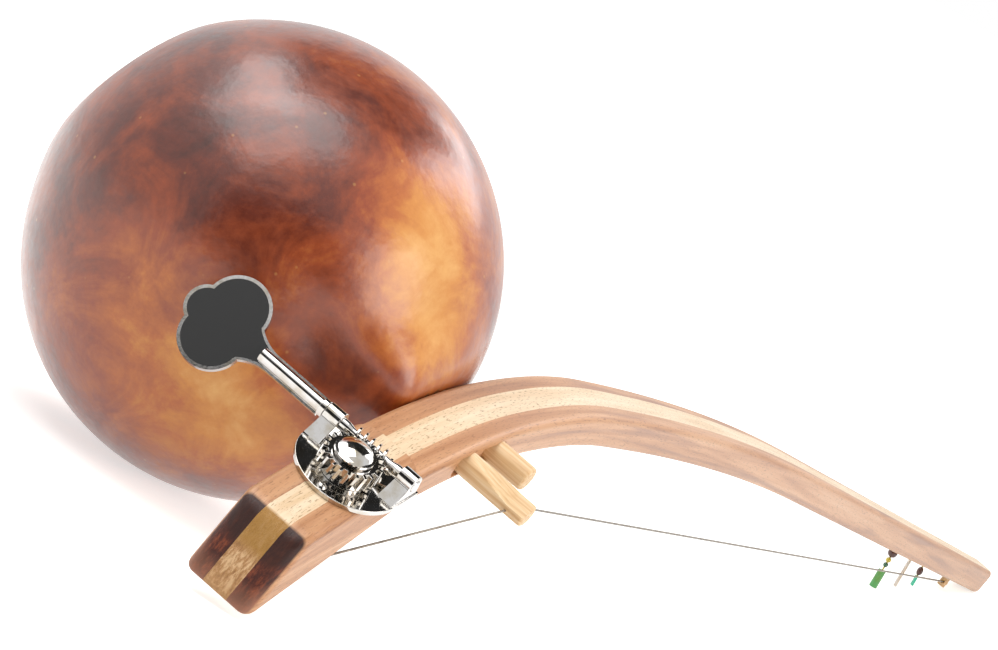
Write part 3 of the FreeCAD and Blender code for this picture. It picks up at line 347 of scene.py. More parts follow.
@dataclass(frozen=True)
class OiledWood(Finish):
    """Planed and oiled hardwood that follows the stave's bend, with its own end grain.

    The piece's "grain" attribute is (along, across, deep) in mm and "end" is 1 on end grain.

    Attributes:
        tones: Colour ramp of the long figure.
        streak: Colour of the long streaks.
        pore: Colour of the short dark pores.
        pore_amount: How strongly the pores show, from 0 to 1.
        end_tones: Colour ramp of the end grain.
        end_high: Colour of the end grain towards the back.
        end_low_and_highlight: Colour of the end grain towards the belly, partly the end grain's own lower
            colour and partly a painted highlight on the nose's rounded lower edge.
        streak_length: Length of the figure in mm.
        streak_width: Width of the figure in mm.
        tear: Depth of the torn end grain in mm.
        pore_size: Length, width and depth of a pore in mm.
        torn_size: Size of the torn end grain along, across and deep, in mm.
        high_edge: Depths in mm between which the high colour comes in.
        high_wave: Height in mm of the waves of that edge.
        low_and_highlight_edge: Depths in mm between which the low colour, with its painted highlight, comes in.
    """

    tones: tuple[tuple[float, str], ...]
    streak: str
    pore: str
    pore_amount: float
    end_tones: tuple[tuple[float, str], ...]
    end_high: str
    end_low_and_highlight: str
    streak_length: float = 170.0
    streak_width: float = 5.0
    tear: float = 0.6
    pore_size: tuple[float, float, float] = (3.2, 0.42, 0.42)
    torn_size: tuple[float, float, float] = (2.5, 1.613, 4.545)
    high_edge: tuple[float, float] = (-7.0, -3.0)
    high_wave: float = 9.0
    low_and_highlight_edge: tuple[float, float] = (-17.0, -31.0)

    def paint(self, tree: bpy.types.NodeTree, shader: bpy.types.Node) -> None:
        """Adds a long figure, coloured streaks, short dark pores and torn end grain whose belly side carries a
        painted highlight.

        Args:
            tree: Node tree of the material.
            shader: Its Principled shader.
        """
        grain = add(tree, "ShaderNodeAttribute", {"attribute_name": "grain"}).outputs["Vector"]
        face = add(tree, "ShaderNodeAttribute", {"attribute_name": "end"}).outputs["Fac"]
        end = add(tree, "ShaderNodeMapRange", inputs={
            "Value": face, "From Min": 0.35, "From Max": 0.55}).outputs[0]
        long, wide = 1 / self.streak_length, 1 / self.streak_width
        figure_at = add(tree, "ShaderNodeMapping", inputs={0: grain, "Scale": (long, wide, wide)})
        figure = add(tree, "ShaderNodeTexNoise", inputs={
            "Vector": figure_at.outputs[0], "Scale": 1.0, "Detail": 5.0, "Roughness": 0.6, "Distortion": 0.35})
        tone = add(tree, "ShaderNodeValToRGB", inputs={"Fac": figure.outputs["Fac"]}, stops=self.tones)
        streak_at = add(tree, "ShaderNodeMapping", inputs={
            0: grain, "Location": (7.0, 3.0, 5.0), "Scale": (long * 0.8, wide * 0.45, wide * 0.8)})
        streak = add(tree, "ShaderNodeTexNoise", inputs={
            "Vector": streak_at.outputs[0], "Scale": 1.0, "Detail": 3.0, "Distortion": 0.8})
        streaked = add(tree, "ShaderNodeMapRange", inputs={
            "Value": streak.outputs["Fac"], "From Min": 0.54, "From Max": 0.68, "To Max": 0.7})
        figured = add(tree, "ShaderNodeMix", {"data_type": "RGBA"}, {
            "Factor": streaked.outputs[0], 6: tone.outputs["Color"], 7: linear(self.streak)})
        pore_at = add(tree, "ShaderNodeMapping", inputs={
            0: grain, "Scale": tuple(1 / size for size in self.pore_size)})
        pores = add(tree, "ShaderNodeTexNoise", inputs={
            "Vector": pore_at.outputs[0], "Scale": 1.0, "Detail": 1.0})
        pored = add(tree, "ShaderNodeMapRange", inputs={
            "Value": pores.outputs["Fac"], "From Min": 0.60, "From Max": 0.68, "To Max": self.pore_amount})
        side = add(tree, "ShaderNodeMix", {"data_type": "RGBA"}, {
            "Factor": pored.outputs[0], 6: figured.outputs[2], 7: linear(self.pore)})
        torn_at = add(tree, "ShaderNodeMapping", inputs={
            0: grain, "Scale": tuple(1 / size for size in self.torn_size)})
        torn = add(tree, "ShaderNodeTexNoise", inputs={
            "Vector": torn_at.outputs[0], "Scale": 1.0, "Detail": 8.0, "Roughness": 0.72})
        end_tone = add(tree, "ShaderNodeValToRGB", inputs={"Fac": torn.outputs["Fac"]}, stops=self.end_tones)
        split = add(tree, "ShaderNodeSeparateXYZ", inputs={0: grain})
        # Towards the belly the end grain turns to the low colour: partly its own lower colour and partly a
        # painted highlight on the nose's rounded lower edge.
        low = add(tree, "ShaderNodeMapRange", inputs={
            "Value": split.outputs[2], "From Min": self.low_and_highlight_edge[0], "From Max": self.low_and_highlight_edge[1],
            "To Max": 0.8})
        wavy = add(tree, "ShaderNodeMath", {"operation": "MULTIPLY_ADD"}, {
            0: torn.outputs["Fac"], 1: self.high_wave, 2: split.outputs[2]})
        high = add(tree, "ShaderNodeMapRange", inputs={
            "Value": wavy.outputs[0], "From Min": self.high_edge[0], "From Max": self.high_edge[1],
            "To Max": 0.85})
        topped = add(tree, "ShaderNodeMix", {"data_type": "RGBA"}, {
            "Factor": high.outputs[0], 6: end_tone.outputs["Color"], 7: linear(self.end_high)})
        end_color = add(tree, "ShaderNodeMix", {"data_type": "RGBA"}, {
            "Factor": low.outputs[0], 6: topped.outputs[2], 7: linear(self.end_low_and_highlight)})
        color = add(tree, "ShaderNodeMix", {"data_type": "RGBA"}, {
            "Factor": end, 6: side.outputs[2], 7: end_color.outputs[2]})
        tree.links.new(color.outputs[2], shader.inputs["Base Color"])
        relief = add(tree, "ShaderNodeMix", inputs={
            "Factor": end, 2: pores.outputs["Fac"], 3: torn.outputs["Fac"]})
        depth = add(tree, "ShaderNodeMapRange", inputs={
            "Value": end, "To Min": 0.05 * MM, "To Max": self.tear * MM})
        bump = add(tree, "ShaderNodeBump", inputs={
            "Strength": 0.6, "Distance": depth.outputs[0], "Height": relief.outputs[0]})
        tree.links.new(bump.outputs[0], shader.inputs["Normal"])
        shader.inputs["Roughness"].default_value = 0.42
        shader.inputs["Specular IOR Level"].default_value = 0.3
        shader.inputs["Coat Weight"].default_value = 0.1
        shader.inputs["Coat Roughness"].default_value = 0.25


@dataclass(frozen=True)
class TurnedWood(Finish):
    """Bare turned or whittled wood with fine straight grain along one of its axes.

    Attributes:
        tones: Colour ramp of the lines.
        turn: Euler angles that the grain's own axes follow.
        line_size: Width, length and depth of a line in mm.
    """

    tones: tuple[tuple[float, str], ...]
    turn: tuple[float, float, float]
    line_size: tuple[float, float, float] = (1.2, 30.0, 1.2)

    def paint(self, tree: bpy.types.NodeTree, shader: bpy.types.Node) -> None:
        """Adds fine lines about 1 mm apart, with faint fibre relief.

        Args:
            tree: Node tree of the material.
            shader: Its Principled shader.
        """
        place = add(tree, "ShaderNodeTexCoord").outputs["Object"]
        turned = add(tree, "ShaderNodeMapping", inputs={0: place, "Rotation": self.turn})
        scaled = add(tree, "ShaderNodeMapping", inputs={
            0: turned.outputs[0], "Scale": tuple(1 / (size * MM) for size in self.line_size)})
        lines = add(tree, "ShaderNodeTexNoise", inputs={
            "Vector": scaled.outputs[0], "Scale": 1.0, "Detail": 4.0, "Distortion": 0.2})
        tone = add(tree, "ShaderNodeValToRGB", inputs={"Fac": lines.outputs["Fac"]}, stops=self.tones)
        tree.links.new(tone.outputs["Color"], shader.inputs["Base Color"])
        bump = add(tree, "ShaderNodeBump", inputs={
            "Strength": 0.4, "Distance": 0.06 * MM, "Height": lines.outputs["Fac"]})
        tree.links.new(bump.outputs[0], shader.inputs["Normal"])
        shader.inputs["Roughness"].default_value = 0.5


@dataclass(frozen=True)
class VarnishedGourd(Finish):
    """Dried calabash rind, mottled amber and red-brown under a thick gloss varnish.

    Attributes:
        stain: Colour ramp of the stain, from its darkest to its lightest.
        speck: Colour of the small pale specks.
        raw: Colour of the bare inside.
        sizes: Sizes in mm of the clouds, of the blotches, between the specks and of the varnish's waves.
    """

    stain: tuple[tuple[float, str], ...] = (
        (0.0, "#2c0d05"), (0.22, "#5e210c"), (0.42, "#8c3c16"), (0.60, "#b05f22"), (0.78, "#ca8434"),
        (1.0, "#dca45a"))
    speck: str = "#c99a55"
    raw: str = "#8f6a40"
    sizes: tuple[float, float, float, float] = (30.0, 6.0, 11.0, 4.0)

    def paint(self, tree: bpy.types.NodeTree, shader: bpy.types.Node) -> None:
        """Adds a cloudy stain from the "tone" attribute (which also holds painted shade by the stave and
        painted bounce light and sheen), small blotches, specks and a wavy coat.

        Args:
            tree: Node tree of the material.
            shader: Its Principled shader.
        """
        cloud_scale, blotch_scale, speck_scale, wave_scale = (1 / (size * MM) for size in self.sizes)
        place = add(tree, "ShaderNodeTexCoord").outputs["Object"]
        tone = add(tree, "ShaderNodeAttribute", {"attribute_name": "tone"}).outputs["Fac"]
        inside = add(tree, "ShaderNodeAttribute", {"attribute_name": "inside"}).outputs["Fac"]
        cloud = add(tree, "ShaderNodeTexNoise", inputs={
            "Vector": place, "Scale": cloud_scale, "Detail": 7.0, "Roughness": 0.62, "Distortion": 0.7})
        fine = add(tree, "ShaderNodeTexNoise", inputs={
            "Vector": place, "Scale": blotch_scale, "Detail": 5.0, "Roughness": 0.7})
        # The tone added here holds painted shade by the stave and painted bounce light and sheen as well as the
        # stain.
        clouded = add(tree, "ShaderNodeMath", {"operation": "MULTIPLY_ADD"}, {
            0: cloud.outputs["Fac"], 1: 0.95, 2: tone})
        mottled = add(tree, "ShaderNodeMath", {"operation": "MULTIPLY_ADD"}, {
            0: fine.outputs["Fac"], 1: 0.28, 2: clouded.outputs[0]})
        factor = add(tree, "ShaderNodeMath", {"operation": "SUBTRACT", "use_clamp": True}, {
            0: mottled.outputs[0], 1: 0.61})
        stain = add(tree, "ShaderNodeValToRGB", inputs={"Fac": factor.outputs[0]}, stops=self.stain)
        spots = add(tree, "ShaderNodeTexVoronoi", inputs={
            "Vector": place, "Scale": speck_scale, "Randomness": 1.0})
        spot = add(tree, "ShaderNodeMapRange", inputs={
            "Value": spots.outputs["Distance"], "From Min": 0.07, "From Max": 0.03, "To Max": 0.3})
        speckled = add(tree, "ShaderNodeMix", {"data_type": "RGBA"}, {
            "Factor": spot.outputs[0], 6: stain.outputs["Color"], 7: linear(self.speck)})
        color = add(tree, "ShaderNodeMix", {"data_type": "RGBA"}, {
            "Factor": inside, 6: speckled.outputs[2], 7: linear(self.raw)})
        tree.links.new(color.outputs[2], shader.inputs["Base Color"])
        peel = add(tree, "ShaderNodeTexNoise", inputs={"Vector": place, "Scale": wave_scale, "Detail": 2.0})
        bump = add(tree, "ShaderNodeBump", inputs={
            "Strength": 0.5, "Distance": 0.25 * MM, "Height": peel.outputs["Fac"]})
        tree.links.new(bump.outputs[0], shader.inputs["Normal"])
        tree.links.new(bump.outputs[0], shader.inputs["Coat Normal"])
        rough = add(tree, "ShaderNodeMapRange", inputs={
            "Value": fine.outputs["Fac"], "From Min": 0.3, "From Max": 0.7, "To Min": 0.30, "To Max": 0.5})
        tree.links.new(rough.outputs[0], shader.inputs["Roughness"])
        shader.inputs["Specular IOR Level"].default_value = 0.25
        shader.inputs["Coat Weight"].default_value = 0.9
        shader.inputs["Coat Roughness"].default_value = 0.24


@dataclass(frozen=True)
class PlatedMetal(Finish):
    """Polished or drawn metal with a faint warm tint and fine handling marks.

    Attributes:
        color: Colour of the bright metal.
        tint: Colour of its duller clouds.
        roughness: Least roughness.
        cloud: Size of a cloud in mm.
        grit: Size of a mark in mm.
        relief: Depth of the marks in mm.
    """

    color: str
    tint: str
    roughness: float
    cloud: float = 6.0
    grit: float = 0.9
    relief: float = 0.01

    def paint(self, tree: bpy.types.NodeTree, shader: bpy.types.Node) -> None:
        """Adds soft clouds of tint, and marks of roughness about a millimetre across.

        Args:
            tree: Node tree of the material.
            shader: Its Principled shader.
        """
        place = add(tree, "ShaderNodeTexCoord").outputs["Object"]
        cloud = add(tree, "ShaderNodeTexNoise", inputs={
            "Vector": place, "Scale": 1 / (self.cloud * MM), "Detail": 4.0})
        tone = add(tree, "ShaderNodeValToRGB", inputs={"Fac": cloud.outputs["Fac"]}, stops=(
            (0.42, self.color), (0.72, self.tint)))
        tree.links.new(tone.outputs["Color"], shader.inputs["Base Color"])
        marks = add(tree, "ShaderNodeTexNoise", inputs={
            "Vector": place, "Scale": 1 / (self.grit * MM), "Detail": 3.0})
        rough = add(tree, "ShaderNodeMapRange", inputs={
            "Value": marks.outputs["Fac"], "From Min": 0.35, "From Max": 0.75,
            "To Min": self.roughness, "To Max": self.roughness * 2.2})
        tree.links.new(rough.outputs[0], shader.inputs["Roughness"])
        bump = add(tree, "ShaderNodeBump", inputs={
            "Strength": 0.3, "Distance": self.relief * MM, "Height": marks.outputs["Fac"]})
        tree.links.new(bump.outputs[0], shader.inputs["Normal"])
        shader.inputs["Metallic"].default_value = 1.0


@dataclass(frozen=True)
class Moulded(Finish):
    """Moulded or lacquered plastic, glass-like beads and soft tube, shaded from one colour to another.

    Attributes:
        low: One of the two colours.
        high: The other colour.
        roughness: Roughness of the surface.
        coat: Weight of the clear coat.
        clear: How much light passes through, from 0 to 1.
        patch: Size in mm of a patch of one colour.
        gloss: Specular level, 0.5 for plain plastic.
    """

    low: str
    high: str
    roughness: float
    coat: float = 0.0
    clear: float = 0.0
    patch: float = 4.0
    gloss: float = 0.5

    def paint(self, tree: bpy.types.NodeTree, shader: bpy.types.Node) -> None:
        """Adds a slow change of colour and a faint unevenness of the surface.

        Args:
            tree: Node tree of the material.
            shader: Its Principled shader.
        """
        place = add(tree, "ShaderNodeTexCoord").outputs["Object"]
        cloud = add(tree, "ShaderNodeTexNoise", inputs={
            "Vector": place, "Scale": 1 / (self.patch * MM), "Detail": 3.0})
        tone = add(tree, "ShaderNodeValToRGB", inputs={"Fac": cloud.outputs["Fac"]}, stops=(
            (0.35, self.low), (0.65, self.high)))
        tree.links.new(tone.outputs["Color"], shader.inputs["Base Color"])
        bump = add(tree, "ShaderNodeBump", inputs={
            "Strength": 0.2, "Distance": 0.02 * MM, "Height": cloud.outputs["Fac"]})
        tree.links.new(bump.outputs[0], shader.inputs["Normal"])
        shader.inputs["Roughness"].default_value = self.roughness
        shader.inputs["Coat Weight"].default_value = self.coat
        shader.inputs["Coat Roughness"].default_value = 0.05
        shader.inputs["Transmission Weight"].default_value = self.clear
        shader.inputs["Specular IOR Level"].default_value = self.gloss


@dataclass(frozen=True)
class Finishes:
    """Every finish of the bow.

    Attributes:
        walnut: Planed and oiled walnut: red-brown, silky, with a dark torn end grain.
        pale: Planed and oiled pale hardwood: cream, with short brown pores.
        dowel: Bare whittled wood: dry, straw-coloured, with fine straight lines.
    """

    walnut: Finish
    pale: Finish
    dowel: Finish
    # Dried gourd, stained and brushed with varnish: amber clouds that glow through a soft wet gloss.
    gourd: Finish = VarnishedGourd("varnished_calabash", "gourd")
    # Bright nickel-chrome plate on a zinc casting: white and black bands, slightly warm in its hollows.
    chrome: Finish = PlatedMetal("chrome_plate", "chrome", "#cbc9c7", "#b3aa99", 0.06)
    # Turned brass: yellow with a satin sheen.
    brass: Finish = PlatedMetal("turned_brass", "brass", "#c9a04e", "#a87f38", 0.18)
    # Drawn and wound steel wire: dull grey-brown, with no clear reflection.
    steel: Finish = PlatedMetal("drawn_steel_wire", "string_steel", "#8d857b", "#6f665d", 0.32)
    # Lacquered plastic face: deep black, with a small soft highlight.
    lacquer: Finish = Moulded("black_lacquer", "black_lacquer", "#020202", "#040404", 0.22, gloss=0.2)
    # Waxed cotton thread: dry and yellowish.
    thread: Finish = Moulded("waxed_thread", "thread", "#a89a3a", "#cfc06a", 0.7)
    # Turned, stained and lacquered wood: dark red-brown with a gloss.
    brown_bead: Finish = Moulded("stained_wood_bead", "bead_brown", "#3a150d", "#5c2a1c", 0.3, 0.5)
    # Pressed glass, opaque: saturated colour with a sharp highlight.
    yellow_bead: Finish = Moulded("yellow_glass_bead", "bead_yellow", "#b8a21c", "#d8c648", 0.15, 0.5)
    green_bead: Finish = Moulded("green_glass_bead", "bead_green", "#14422c", "#2c6b48", 0.15, 0.5)
    # Soft extruded tube: green that turns bluer along it, half glossy.
    green_tube: Finish = Moulded("soft_green_tube", "soft_green", "#5b8f3c", "#35b878", 0.35, 0.2, patch=12.0)
    # Plastic ribbon, cut narrow: one coloured, one nearly clear.
    teal_strip: Finish = Moulded("teal_ribbon", "soft_teal", "#1fae8c", "#3cc9a4", 0.4)
    pale_strip: Finish = Moulded("clear_ribbon", "soft_pale", "#e6d5c0", "#f3ebe0", 0.3, 0.0, 0.35)

    @classmethod
    def of(cls, place: StaveFrame) -> "Finishes":
        """Makes the finishes, with the dowels' grain turned to the stave's frame.

        Args:
            place: The stave's own frame.

        Returns:
            The finishes.
        """
        walnut = OiledWood(
            "oiled_walnut", "walnut",
            tones=((0.20, "#84502f"), (0.40, "#b07c55"), (0.55, "#c4926a"), (0.75, "#d3a985")),
            streak="#8f6450", pore="#6b4631", pore_amount=0.45,
            end_tones=((0.30, "#1c0804"), (0.50, "#4a1c0f"), (0.66, "#843f22")),
            # The belly-side end colour on the next line is partly the walnut's red-brown lower end grain and
            # partly a painted highlight on the nose's rounded lower edge.
            end_high="#2a0e06", end_low_and_highlight="#a8745c")
        pale = OiledWood(
            "oiled_pale_hardwood", "pale_wood",
            tones=((0.25, "#d3b48e"), (0.50, "#e2c8a6"), (0.75, "#ecd8bc")),
            streak="#d6b68e", pore="#8a6640", pore_amount=0.7,
            end_tones=((0.30, "#6e4420"), (0.48, "#b1814f"), (0.60, "#dab488")),
            # The belly-side end colour on the next line is partly the core's own lower end grain and partly a
            # painted highlight on the nose's rounded lower edge.
            end_high="#a3762f", end_low_and_highlight="#c29464", streak_length=90.0, streak_width=3.0, tear=2.1)
        dowel = TurnedWood(
            "bare_dowel_wood", "dowel_wood",
            tones=((0.3, "#c69c6c"), (0.5, "#d9b688"), (0.7, "#e6cba4")), turn=place.turn())
        return cls(walnut, pale, dowel)


# ------------------------------------------------------------------ stave


@dataclass(frozen=True)
class Rows:
    """Cross-sections of the stave, one entry each.

    Attributes:
        top: (x, z) of the back; its x is the part that doesn't depend on the place across.
        share: Part of the step's own x that is added to the back's x.
        belly: (x, z) of the belly.
        half: Half the width.
        inset: How far the section is drawn in all round.
        along: Length along the stave.
        end: 1 on end grain.
    """

    top: np.ndarray
    share: np.ndarray
    belly: np.ndarray
    half: np.ndarray
    inset: np.ndarray
    along: np.ndarray
    end: np.ndarray


@dataclass
class Stave:
    """Three-ply stave: flat head with a stepped pad, bent limb and rounded tip.

    Attributes:
        place: The stave's own frame.
        finishes: Every finish of the bow.
        head_width: Width of the head.
        core_width: Width of the pale core.
        head_length: From the nose's crease to the pad's step.
        pad_step: Height of the pad's step.
        pad_corner: Radius that the step curves back with at both sides.
        chin: (x, z) of the nose's lower corner.
        pitch: Slope of the limb's first stretch, in degrees down from the head.
        bends: (length, angle in degrees) of each bend of the limb.
        straight: Length of the straight stretch after the bends.
        thickness: Thickness of the limb.
        tip_width: Width at the tip.
        tip_bulge: Length of the rounded tip, in limb thicknesses.
        tip_draw: Share of the tip's width that its rounding takes.
        edge_round: Radius of the long edges.
        nose_round: Radius of the nose's rim.
        nose_grain: Grain's place at the nose, behind its crease.
        fine_length: Length of limb with close sections, by the dowels.
        dowels: Stations of the two dowels along the limb.
        recess_depth: Depth of the scoop that the dowels come out of.
        recess_half: Half the scoop's width.
        recess_edge: Width of the scoop's sloping edge.
        recess_lead: How far the scoop starts before the first dowel.
    """

    place: StaveFrame
    finishes: Finishes
    head_width: float = 28.0
    core_width: float = 10.3
    head_length: float = 71.5
    pad_step: float = 2.7
    pad_corner: float = 9.0
    chin: tuple[float, float] = (-18.7, -28.3)
    pitch: float = 5.17
    bends: tuple[tuple[float, float], ...] = ((90.0, 13.71), (110.0, 9.04), (360.0, 4.35))
    straight: float = 527.0
    thickness: float = 13.5
    tip_width: float = 13.0
    tip_bulge: float = 0.42
    tip_draw: float = 0.35
    edge_round: float = 2.6
    nose_round: float = 4.6
    nose_grain: float = 9.0
    fine_length: float = 110.0
    dowels: tuple[float, float] = (40.0, 64.0)
    recess_depth: float = 2.4
    recess_half: float = 5.6
    recess_edge: float = 0.9
    recess_lead: float = 4.0

    @property
    def limb_length(self) -> float:
        """Length of the limb along its back."""
        return sum(length for length, _ in self.bends) + self.straight

    def limb(self, station: np.ndarray, depth: float = 0.0) -> tuple[np.ndarray, np.ndarray]:
        """Follows the limb.

        The slope falls evenly along each bend, and the back is the running sum of its direction.

        Args:
            station: Distances along the back.
            depth: Distance under the back.

        Returns:
            Points (x, z) and slopes in radians.
        """
        ends = np.cumsum([0.0] + [length for length, _ in self.bends] + [self.straight])
        turns = -self.pitch - np.cumsum([0.0] + [turn for _, turn in self.bends] + [0.0])
        fine = np.linspace(0, ends[-1], 6001)
        slope = np.radians(np.interp(fine, ends, turns))
        middle = (slope[1:] + slope[:-1]) / 2
        step = fine[1] - fine[0]
        x = self.head_length + np.concatenate([[0], np.cumsum(np.cos(middle) * step)])
        z = -self.pad_step + np.concatenate([[0], np.cumsum(np.sin(middle) * step)])
        tilt = np.interp(station, fine, slope)
        point = np.stack([np.interp(station, fine, x), np.interp(station, fine, z)], axis=-1)
        return point + depth * np.stack([np.sin(tilt), -np.cos(tilt)], axis=-1), tilt

    def half_width(self, x: np.ndarray) -> np.ndarray:
        """Works out half the width, which narrows evenly from the step to the tip.

        Args:
            x: Places along the head's direction.

        Returns:
            Half the width at each place.
        """
        end = self.limb(np.array([self.limb_length]))[0][0, 0]
        share = np.clip((x - self.head_length) / (end - self.head_length), 0, None)
        return (self.head_width + share * (self.tip_width - self.head_width)) / 2

    def rows(self) -> Rows:
        """Works out the sections from the nose to the tip.

        The nose is a flat face whose rim is a quarter round, the head's sections run from its face to the
        step, and the tip's sections shrink as a half ellipse.

        Returns:
            The sections in order.
        """
        chin = np.array(self.chin)
        face = -chin / np.linalg.norm(chin)
        outward = np.array([-face[1], face[0]])
        belly_start = self.limb(np.array([0.0]), self.thickness)[0][0]
        belly_way = (belly_start - chin) / np.linalg.norm(belly_start - chin)
        arc = np.linspace(math.pi / 2, 0, 7)
        behind = self.nose_round * (1 - np.sin(arc))
        inset = self.nose_round * (1 - np.cos(arc))
        nose_top = np.stack([behind / -outward[0], 0 * behind], axis=-1)
        nose_belly = chin + belly_way * (behind / -(belly_way @ outward))[:, None]
        share = np.linspace(0, 1, 40)[1:]
        first = nose_top[-1, 0]
        head_top = np.stack([first * (1 - share), 0 * share], axis=-1)
        head_belly = nose_belly[-1] + (belly_start - nose_belly[-1]) * share[:, None]
        ledge_top = np.array([[0.0, -self.pad_step], [self.head_length, -self.pad_step]])
        near = np.linspace(1.0, self.fine_length, 150)
        far = np.linspace(self.fine_length, self.limb_length, 140)[1:]
        stations = np.concatenate([near, far])
        limb_top, _ = self.limb(stations)
        limb_belly, _ = self.limb(stations, self.thickness)
        end_point, slope = self.limb(np.array([self.limb_length]))
        end_belly, _ = self.limb(np.array([self.limb_length]), self.thickness)
        swing = np.linspace(0, math.radians(84), 9)[1:]
        ahead = np.array([math.cos(slope[0]), math.sin(slope[0])])
        reach = self.thickness * self.tip_bulge * np.sin(swing)
        middle = (end_point[0] + end_belly[0]) / 2 + ahead * reach[:, None]
        across = (end_point[0] - end_belly[0]) / 2 * np.cos(swing)[:, None]
        top = np.concatenate([nose_top, head_top, ledge_top, limb_top, middle + across])
        belly = np.concatenate([nose_belly, head_belly, [belly_start] * 2, limb_belly, middle - across])
        counts = [len(nose_top), len(head_top), 1, 1, len(limb_top), len(swing)]
        zeros = [np.zeros(count) for count in counts]
        shares = np.concatenate([zeros[0], share, [1.0, 0.0], zeros[4], zeros[5]])
        insets = np.concatenate([inset, zeros[1], [0.0, 0.0], zeros[4], zeros[5]])
        tip_half = self.half_width(end_point[:, 0]) - self.tip_width / 2 * self.tip_draw * (1 - np.cos(swing))
        halves = np.concatenate([
            np.full(counts[0] + counts[1] + 2, self.head_width / 2), self.half_width(limb_top[:, 0]), tip_half])
        along = np.concatenate([
            nose_top[:, 0] - self.nose_grain, first + (self.head_length - first) * share,
            [self.head_length] * 2, self.head_length + stations, self.head_length + self.limb_length + reach])
        nose_end = np.clip(1.25 * np.sin(arc) - 0.25, 0, 1)
        ends = np.concatenate([nose_end, zeros[1], [0.0, 0.0], zeros[4], zeros[5]])
        return Rows(top, shares, belly, halves, insets, along, ends)

    def step_at(self, across: np.ndarray) -> np.ndarray:
        """Returns the x of the pad's step, which curves back towards both sides."""
        over = np.clip(np.abs(across) - (self.head_width / 2 - self.pad_corner), 0, self.pad_corner * 0.999)
        return self.head_length - self.pad_corner + np.sqrt(self.pad_corner ** 2 - over ** 2)

    def edge_drop(self, across: np.ndarray, half: np.ndarray) -> np.ndarray:
        """Returns how far the back has fallen away at a place across, as a quarter round at the edge."""
        over = np.clip(np.abs(across) - (half - self.edge_round), 0, self.edge_round)
        return self.edge_round - np.sqrt(self.edge_round ** 2 - over ** 2)

    def skin(self, rows: Rows, across: np.ndarray) -> tuple[np.ndarray, np.ndarray]:
        """Finds the back and the belly at places across.

        Args:
            rows: The sections.
            across: Places across, shaped (sections, places).

        Returns:
            Points (x, y, z) of the back and of the belly.
        """
        half = (rows.half - rows.inset)[:, None]
        back_x = rows.top[:, :1] + rows.share[:, None] * self.step_at(across)
        back = np.stack([back_x, rows.top[:, 1:] + 0 * across], axis=-1)
        belly = rows.belly[:, None, :] + 0 * back
        down = belly - back
        height = np.linalg.norm(down, axis=-1, keepdims=True)
        down = down / height
        drop = (self.edge_drop(across, half) + rows.inset[:, None])[..., None]
        drop = np.minimum(drop, 0.47 * height)
        back, belly = back + down * drop, belly - down * drop
        return (np.stack([line[..., 0], across, line[..., 1]], axis=-1) for line in (back, belly))

    def ply(self, name: str, low: float, high: float, finish: Finish, node: str) -> None:
        """Builds one ply from its section rings and dresses it.

        Args:
            name: Name of the piece.
            low: Side of the ply nearer the pegs, or the stave's own side if it is past it.
            high: Side nearer the gourd.
            finish: Wood of the ply.
            node: CAD node that the ply replaces.
        """
        rows = self.rows()
        half = (rows.half - rows.inset)[:, None]
        outer = abs(low + high) > 1
        hand = 1.0 if low + high > 0 else -1.0
        if outer:
            inner = np.minimum(min(abs(low), abs(high)), half - THINNEST_PLY)
            spread = np.sin(np.linspace(0, math.pi / 2, 14))[None, :]
            across = hand * (inner + (half - inner) * spread)
        else:
            across = np.linspace(low, high, 12)[None, :] + 0 * half
        back, belly = self.skin(rows, across)
        parts = [back]
        if outer:
            share = np.linspace(0, 1, 18)[None, 1:-1, None]
            wall = back[:, -1:] * (1 - share) + belly[:, -1:] * share
            if hand < 0:
                wall[..., 1] += self.recess(wall)
            parts.append(wall)
        parts.append(belly[:, ::-1])
        grid = np.concatenate(parts, axis=1)
        deep = -np.linalg.norm(grid[..., [0, 2]] - grid[:, :1, [0, 2]], axis=-1)
        grain = np.stack([rows.along[:, None] + 0 * deep, grid[..., 1], deep], axis=-1)
        end = rows.end[:, None] + 0 * deep
        piece = surface(name, self.place.world(grid), {"grain": grain, "end": end})
        adopt(piece, Body.BOW, node)
        finish.dress(piece)
        LOG.info("%s: %d faces", name, len(piece.data.polygons))

    def recess(self, wall: np.ndarray) -> np.ndarray:
        """Works out the scoop round the dowels, a flat-bottomed slot with round ends.

        Args:
            wall: Points of the side, with a last axis of (x, y, z).

        Returns:
            The scoop's depth at each point.
        """
        points, _ = self.limb(np.array(self.dowels), self.thickness / 2)
        start, stop = points
        start = start - (stop - start) / np.linalg.norm(stop - start) * self.recess_lead
        run = stop - start
        place = wall[..., [0, 2]]
        share = np.clip(((place - start) @ run) / (run @ run), 0, 1)
        apart = np.linalg.norm(place - (start + share[..., None] * run), axis=-1)
        return self.recess_depth * smooth_step(self.recess_half, self.recess_half - self.recess_edge, apart)

    def build(self) -> None:
        """Builds the three plies."""
        side, core = self.head_width / 2, self.core_width / 2
        self.ply("gourd_side_ply", core, side, self.finishes.walnut, "bow_side_gourd")
        self.ply("peg_side_ply", -side, -core, self.finishes.walnut, "bow_side_peg")
        self.ply("core_ply", -core, core, self.finishes.pale, "bow_core")


# ------------------------------------------------------------------ dowels


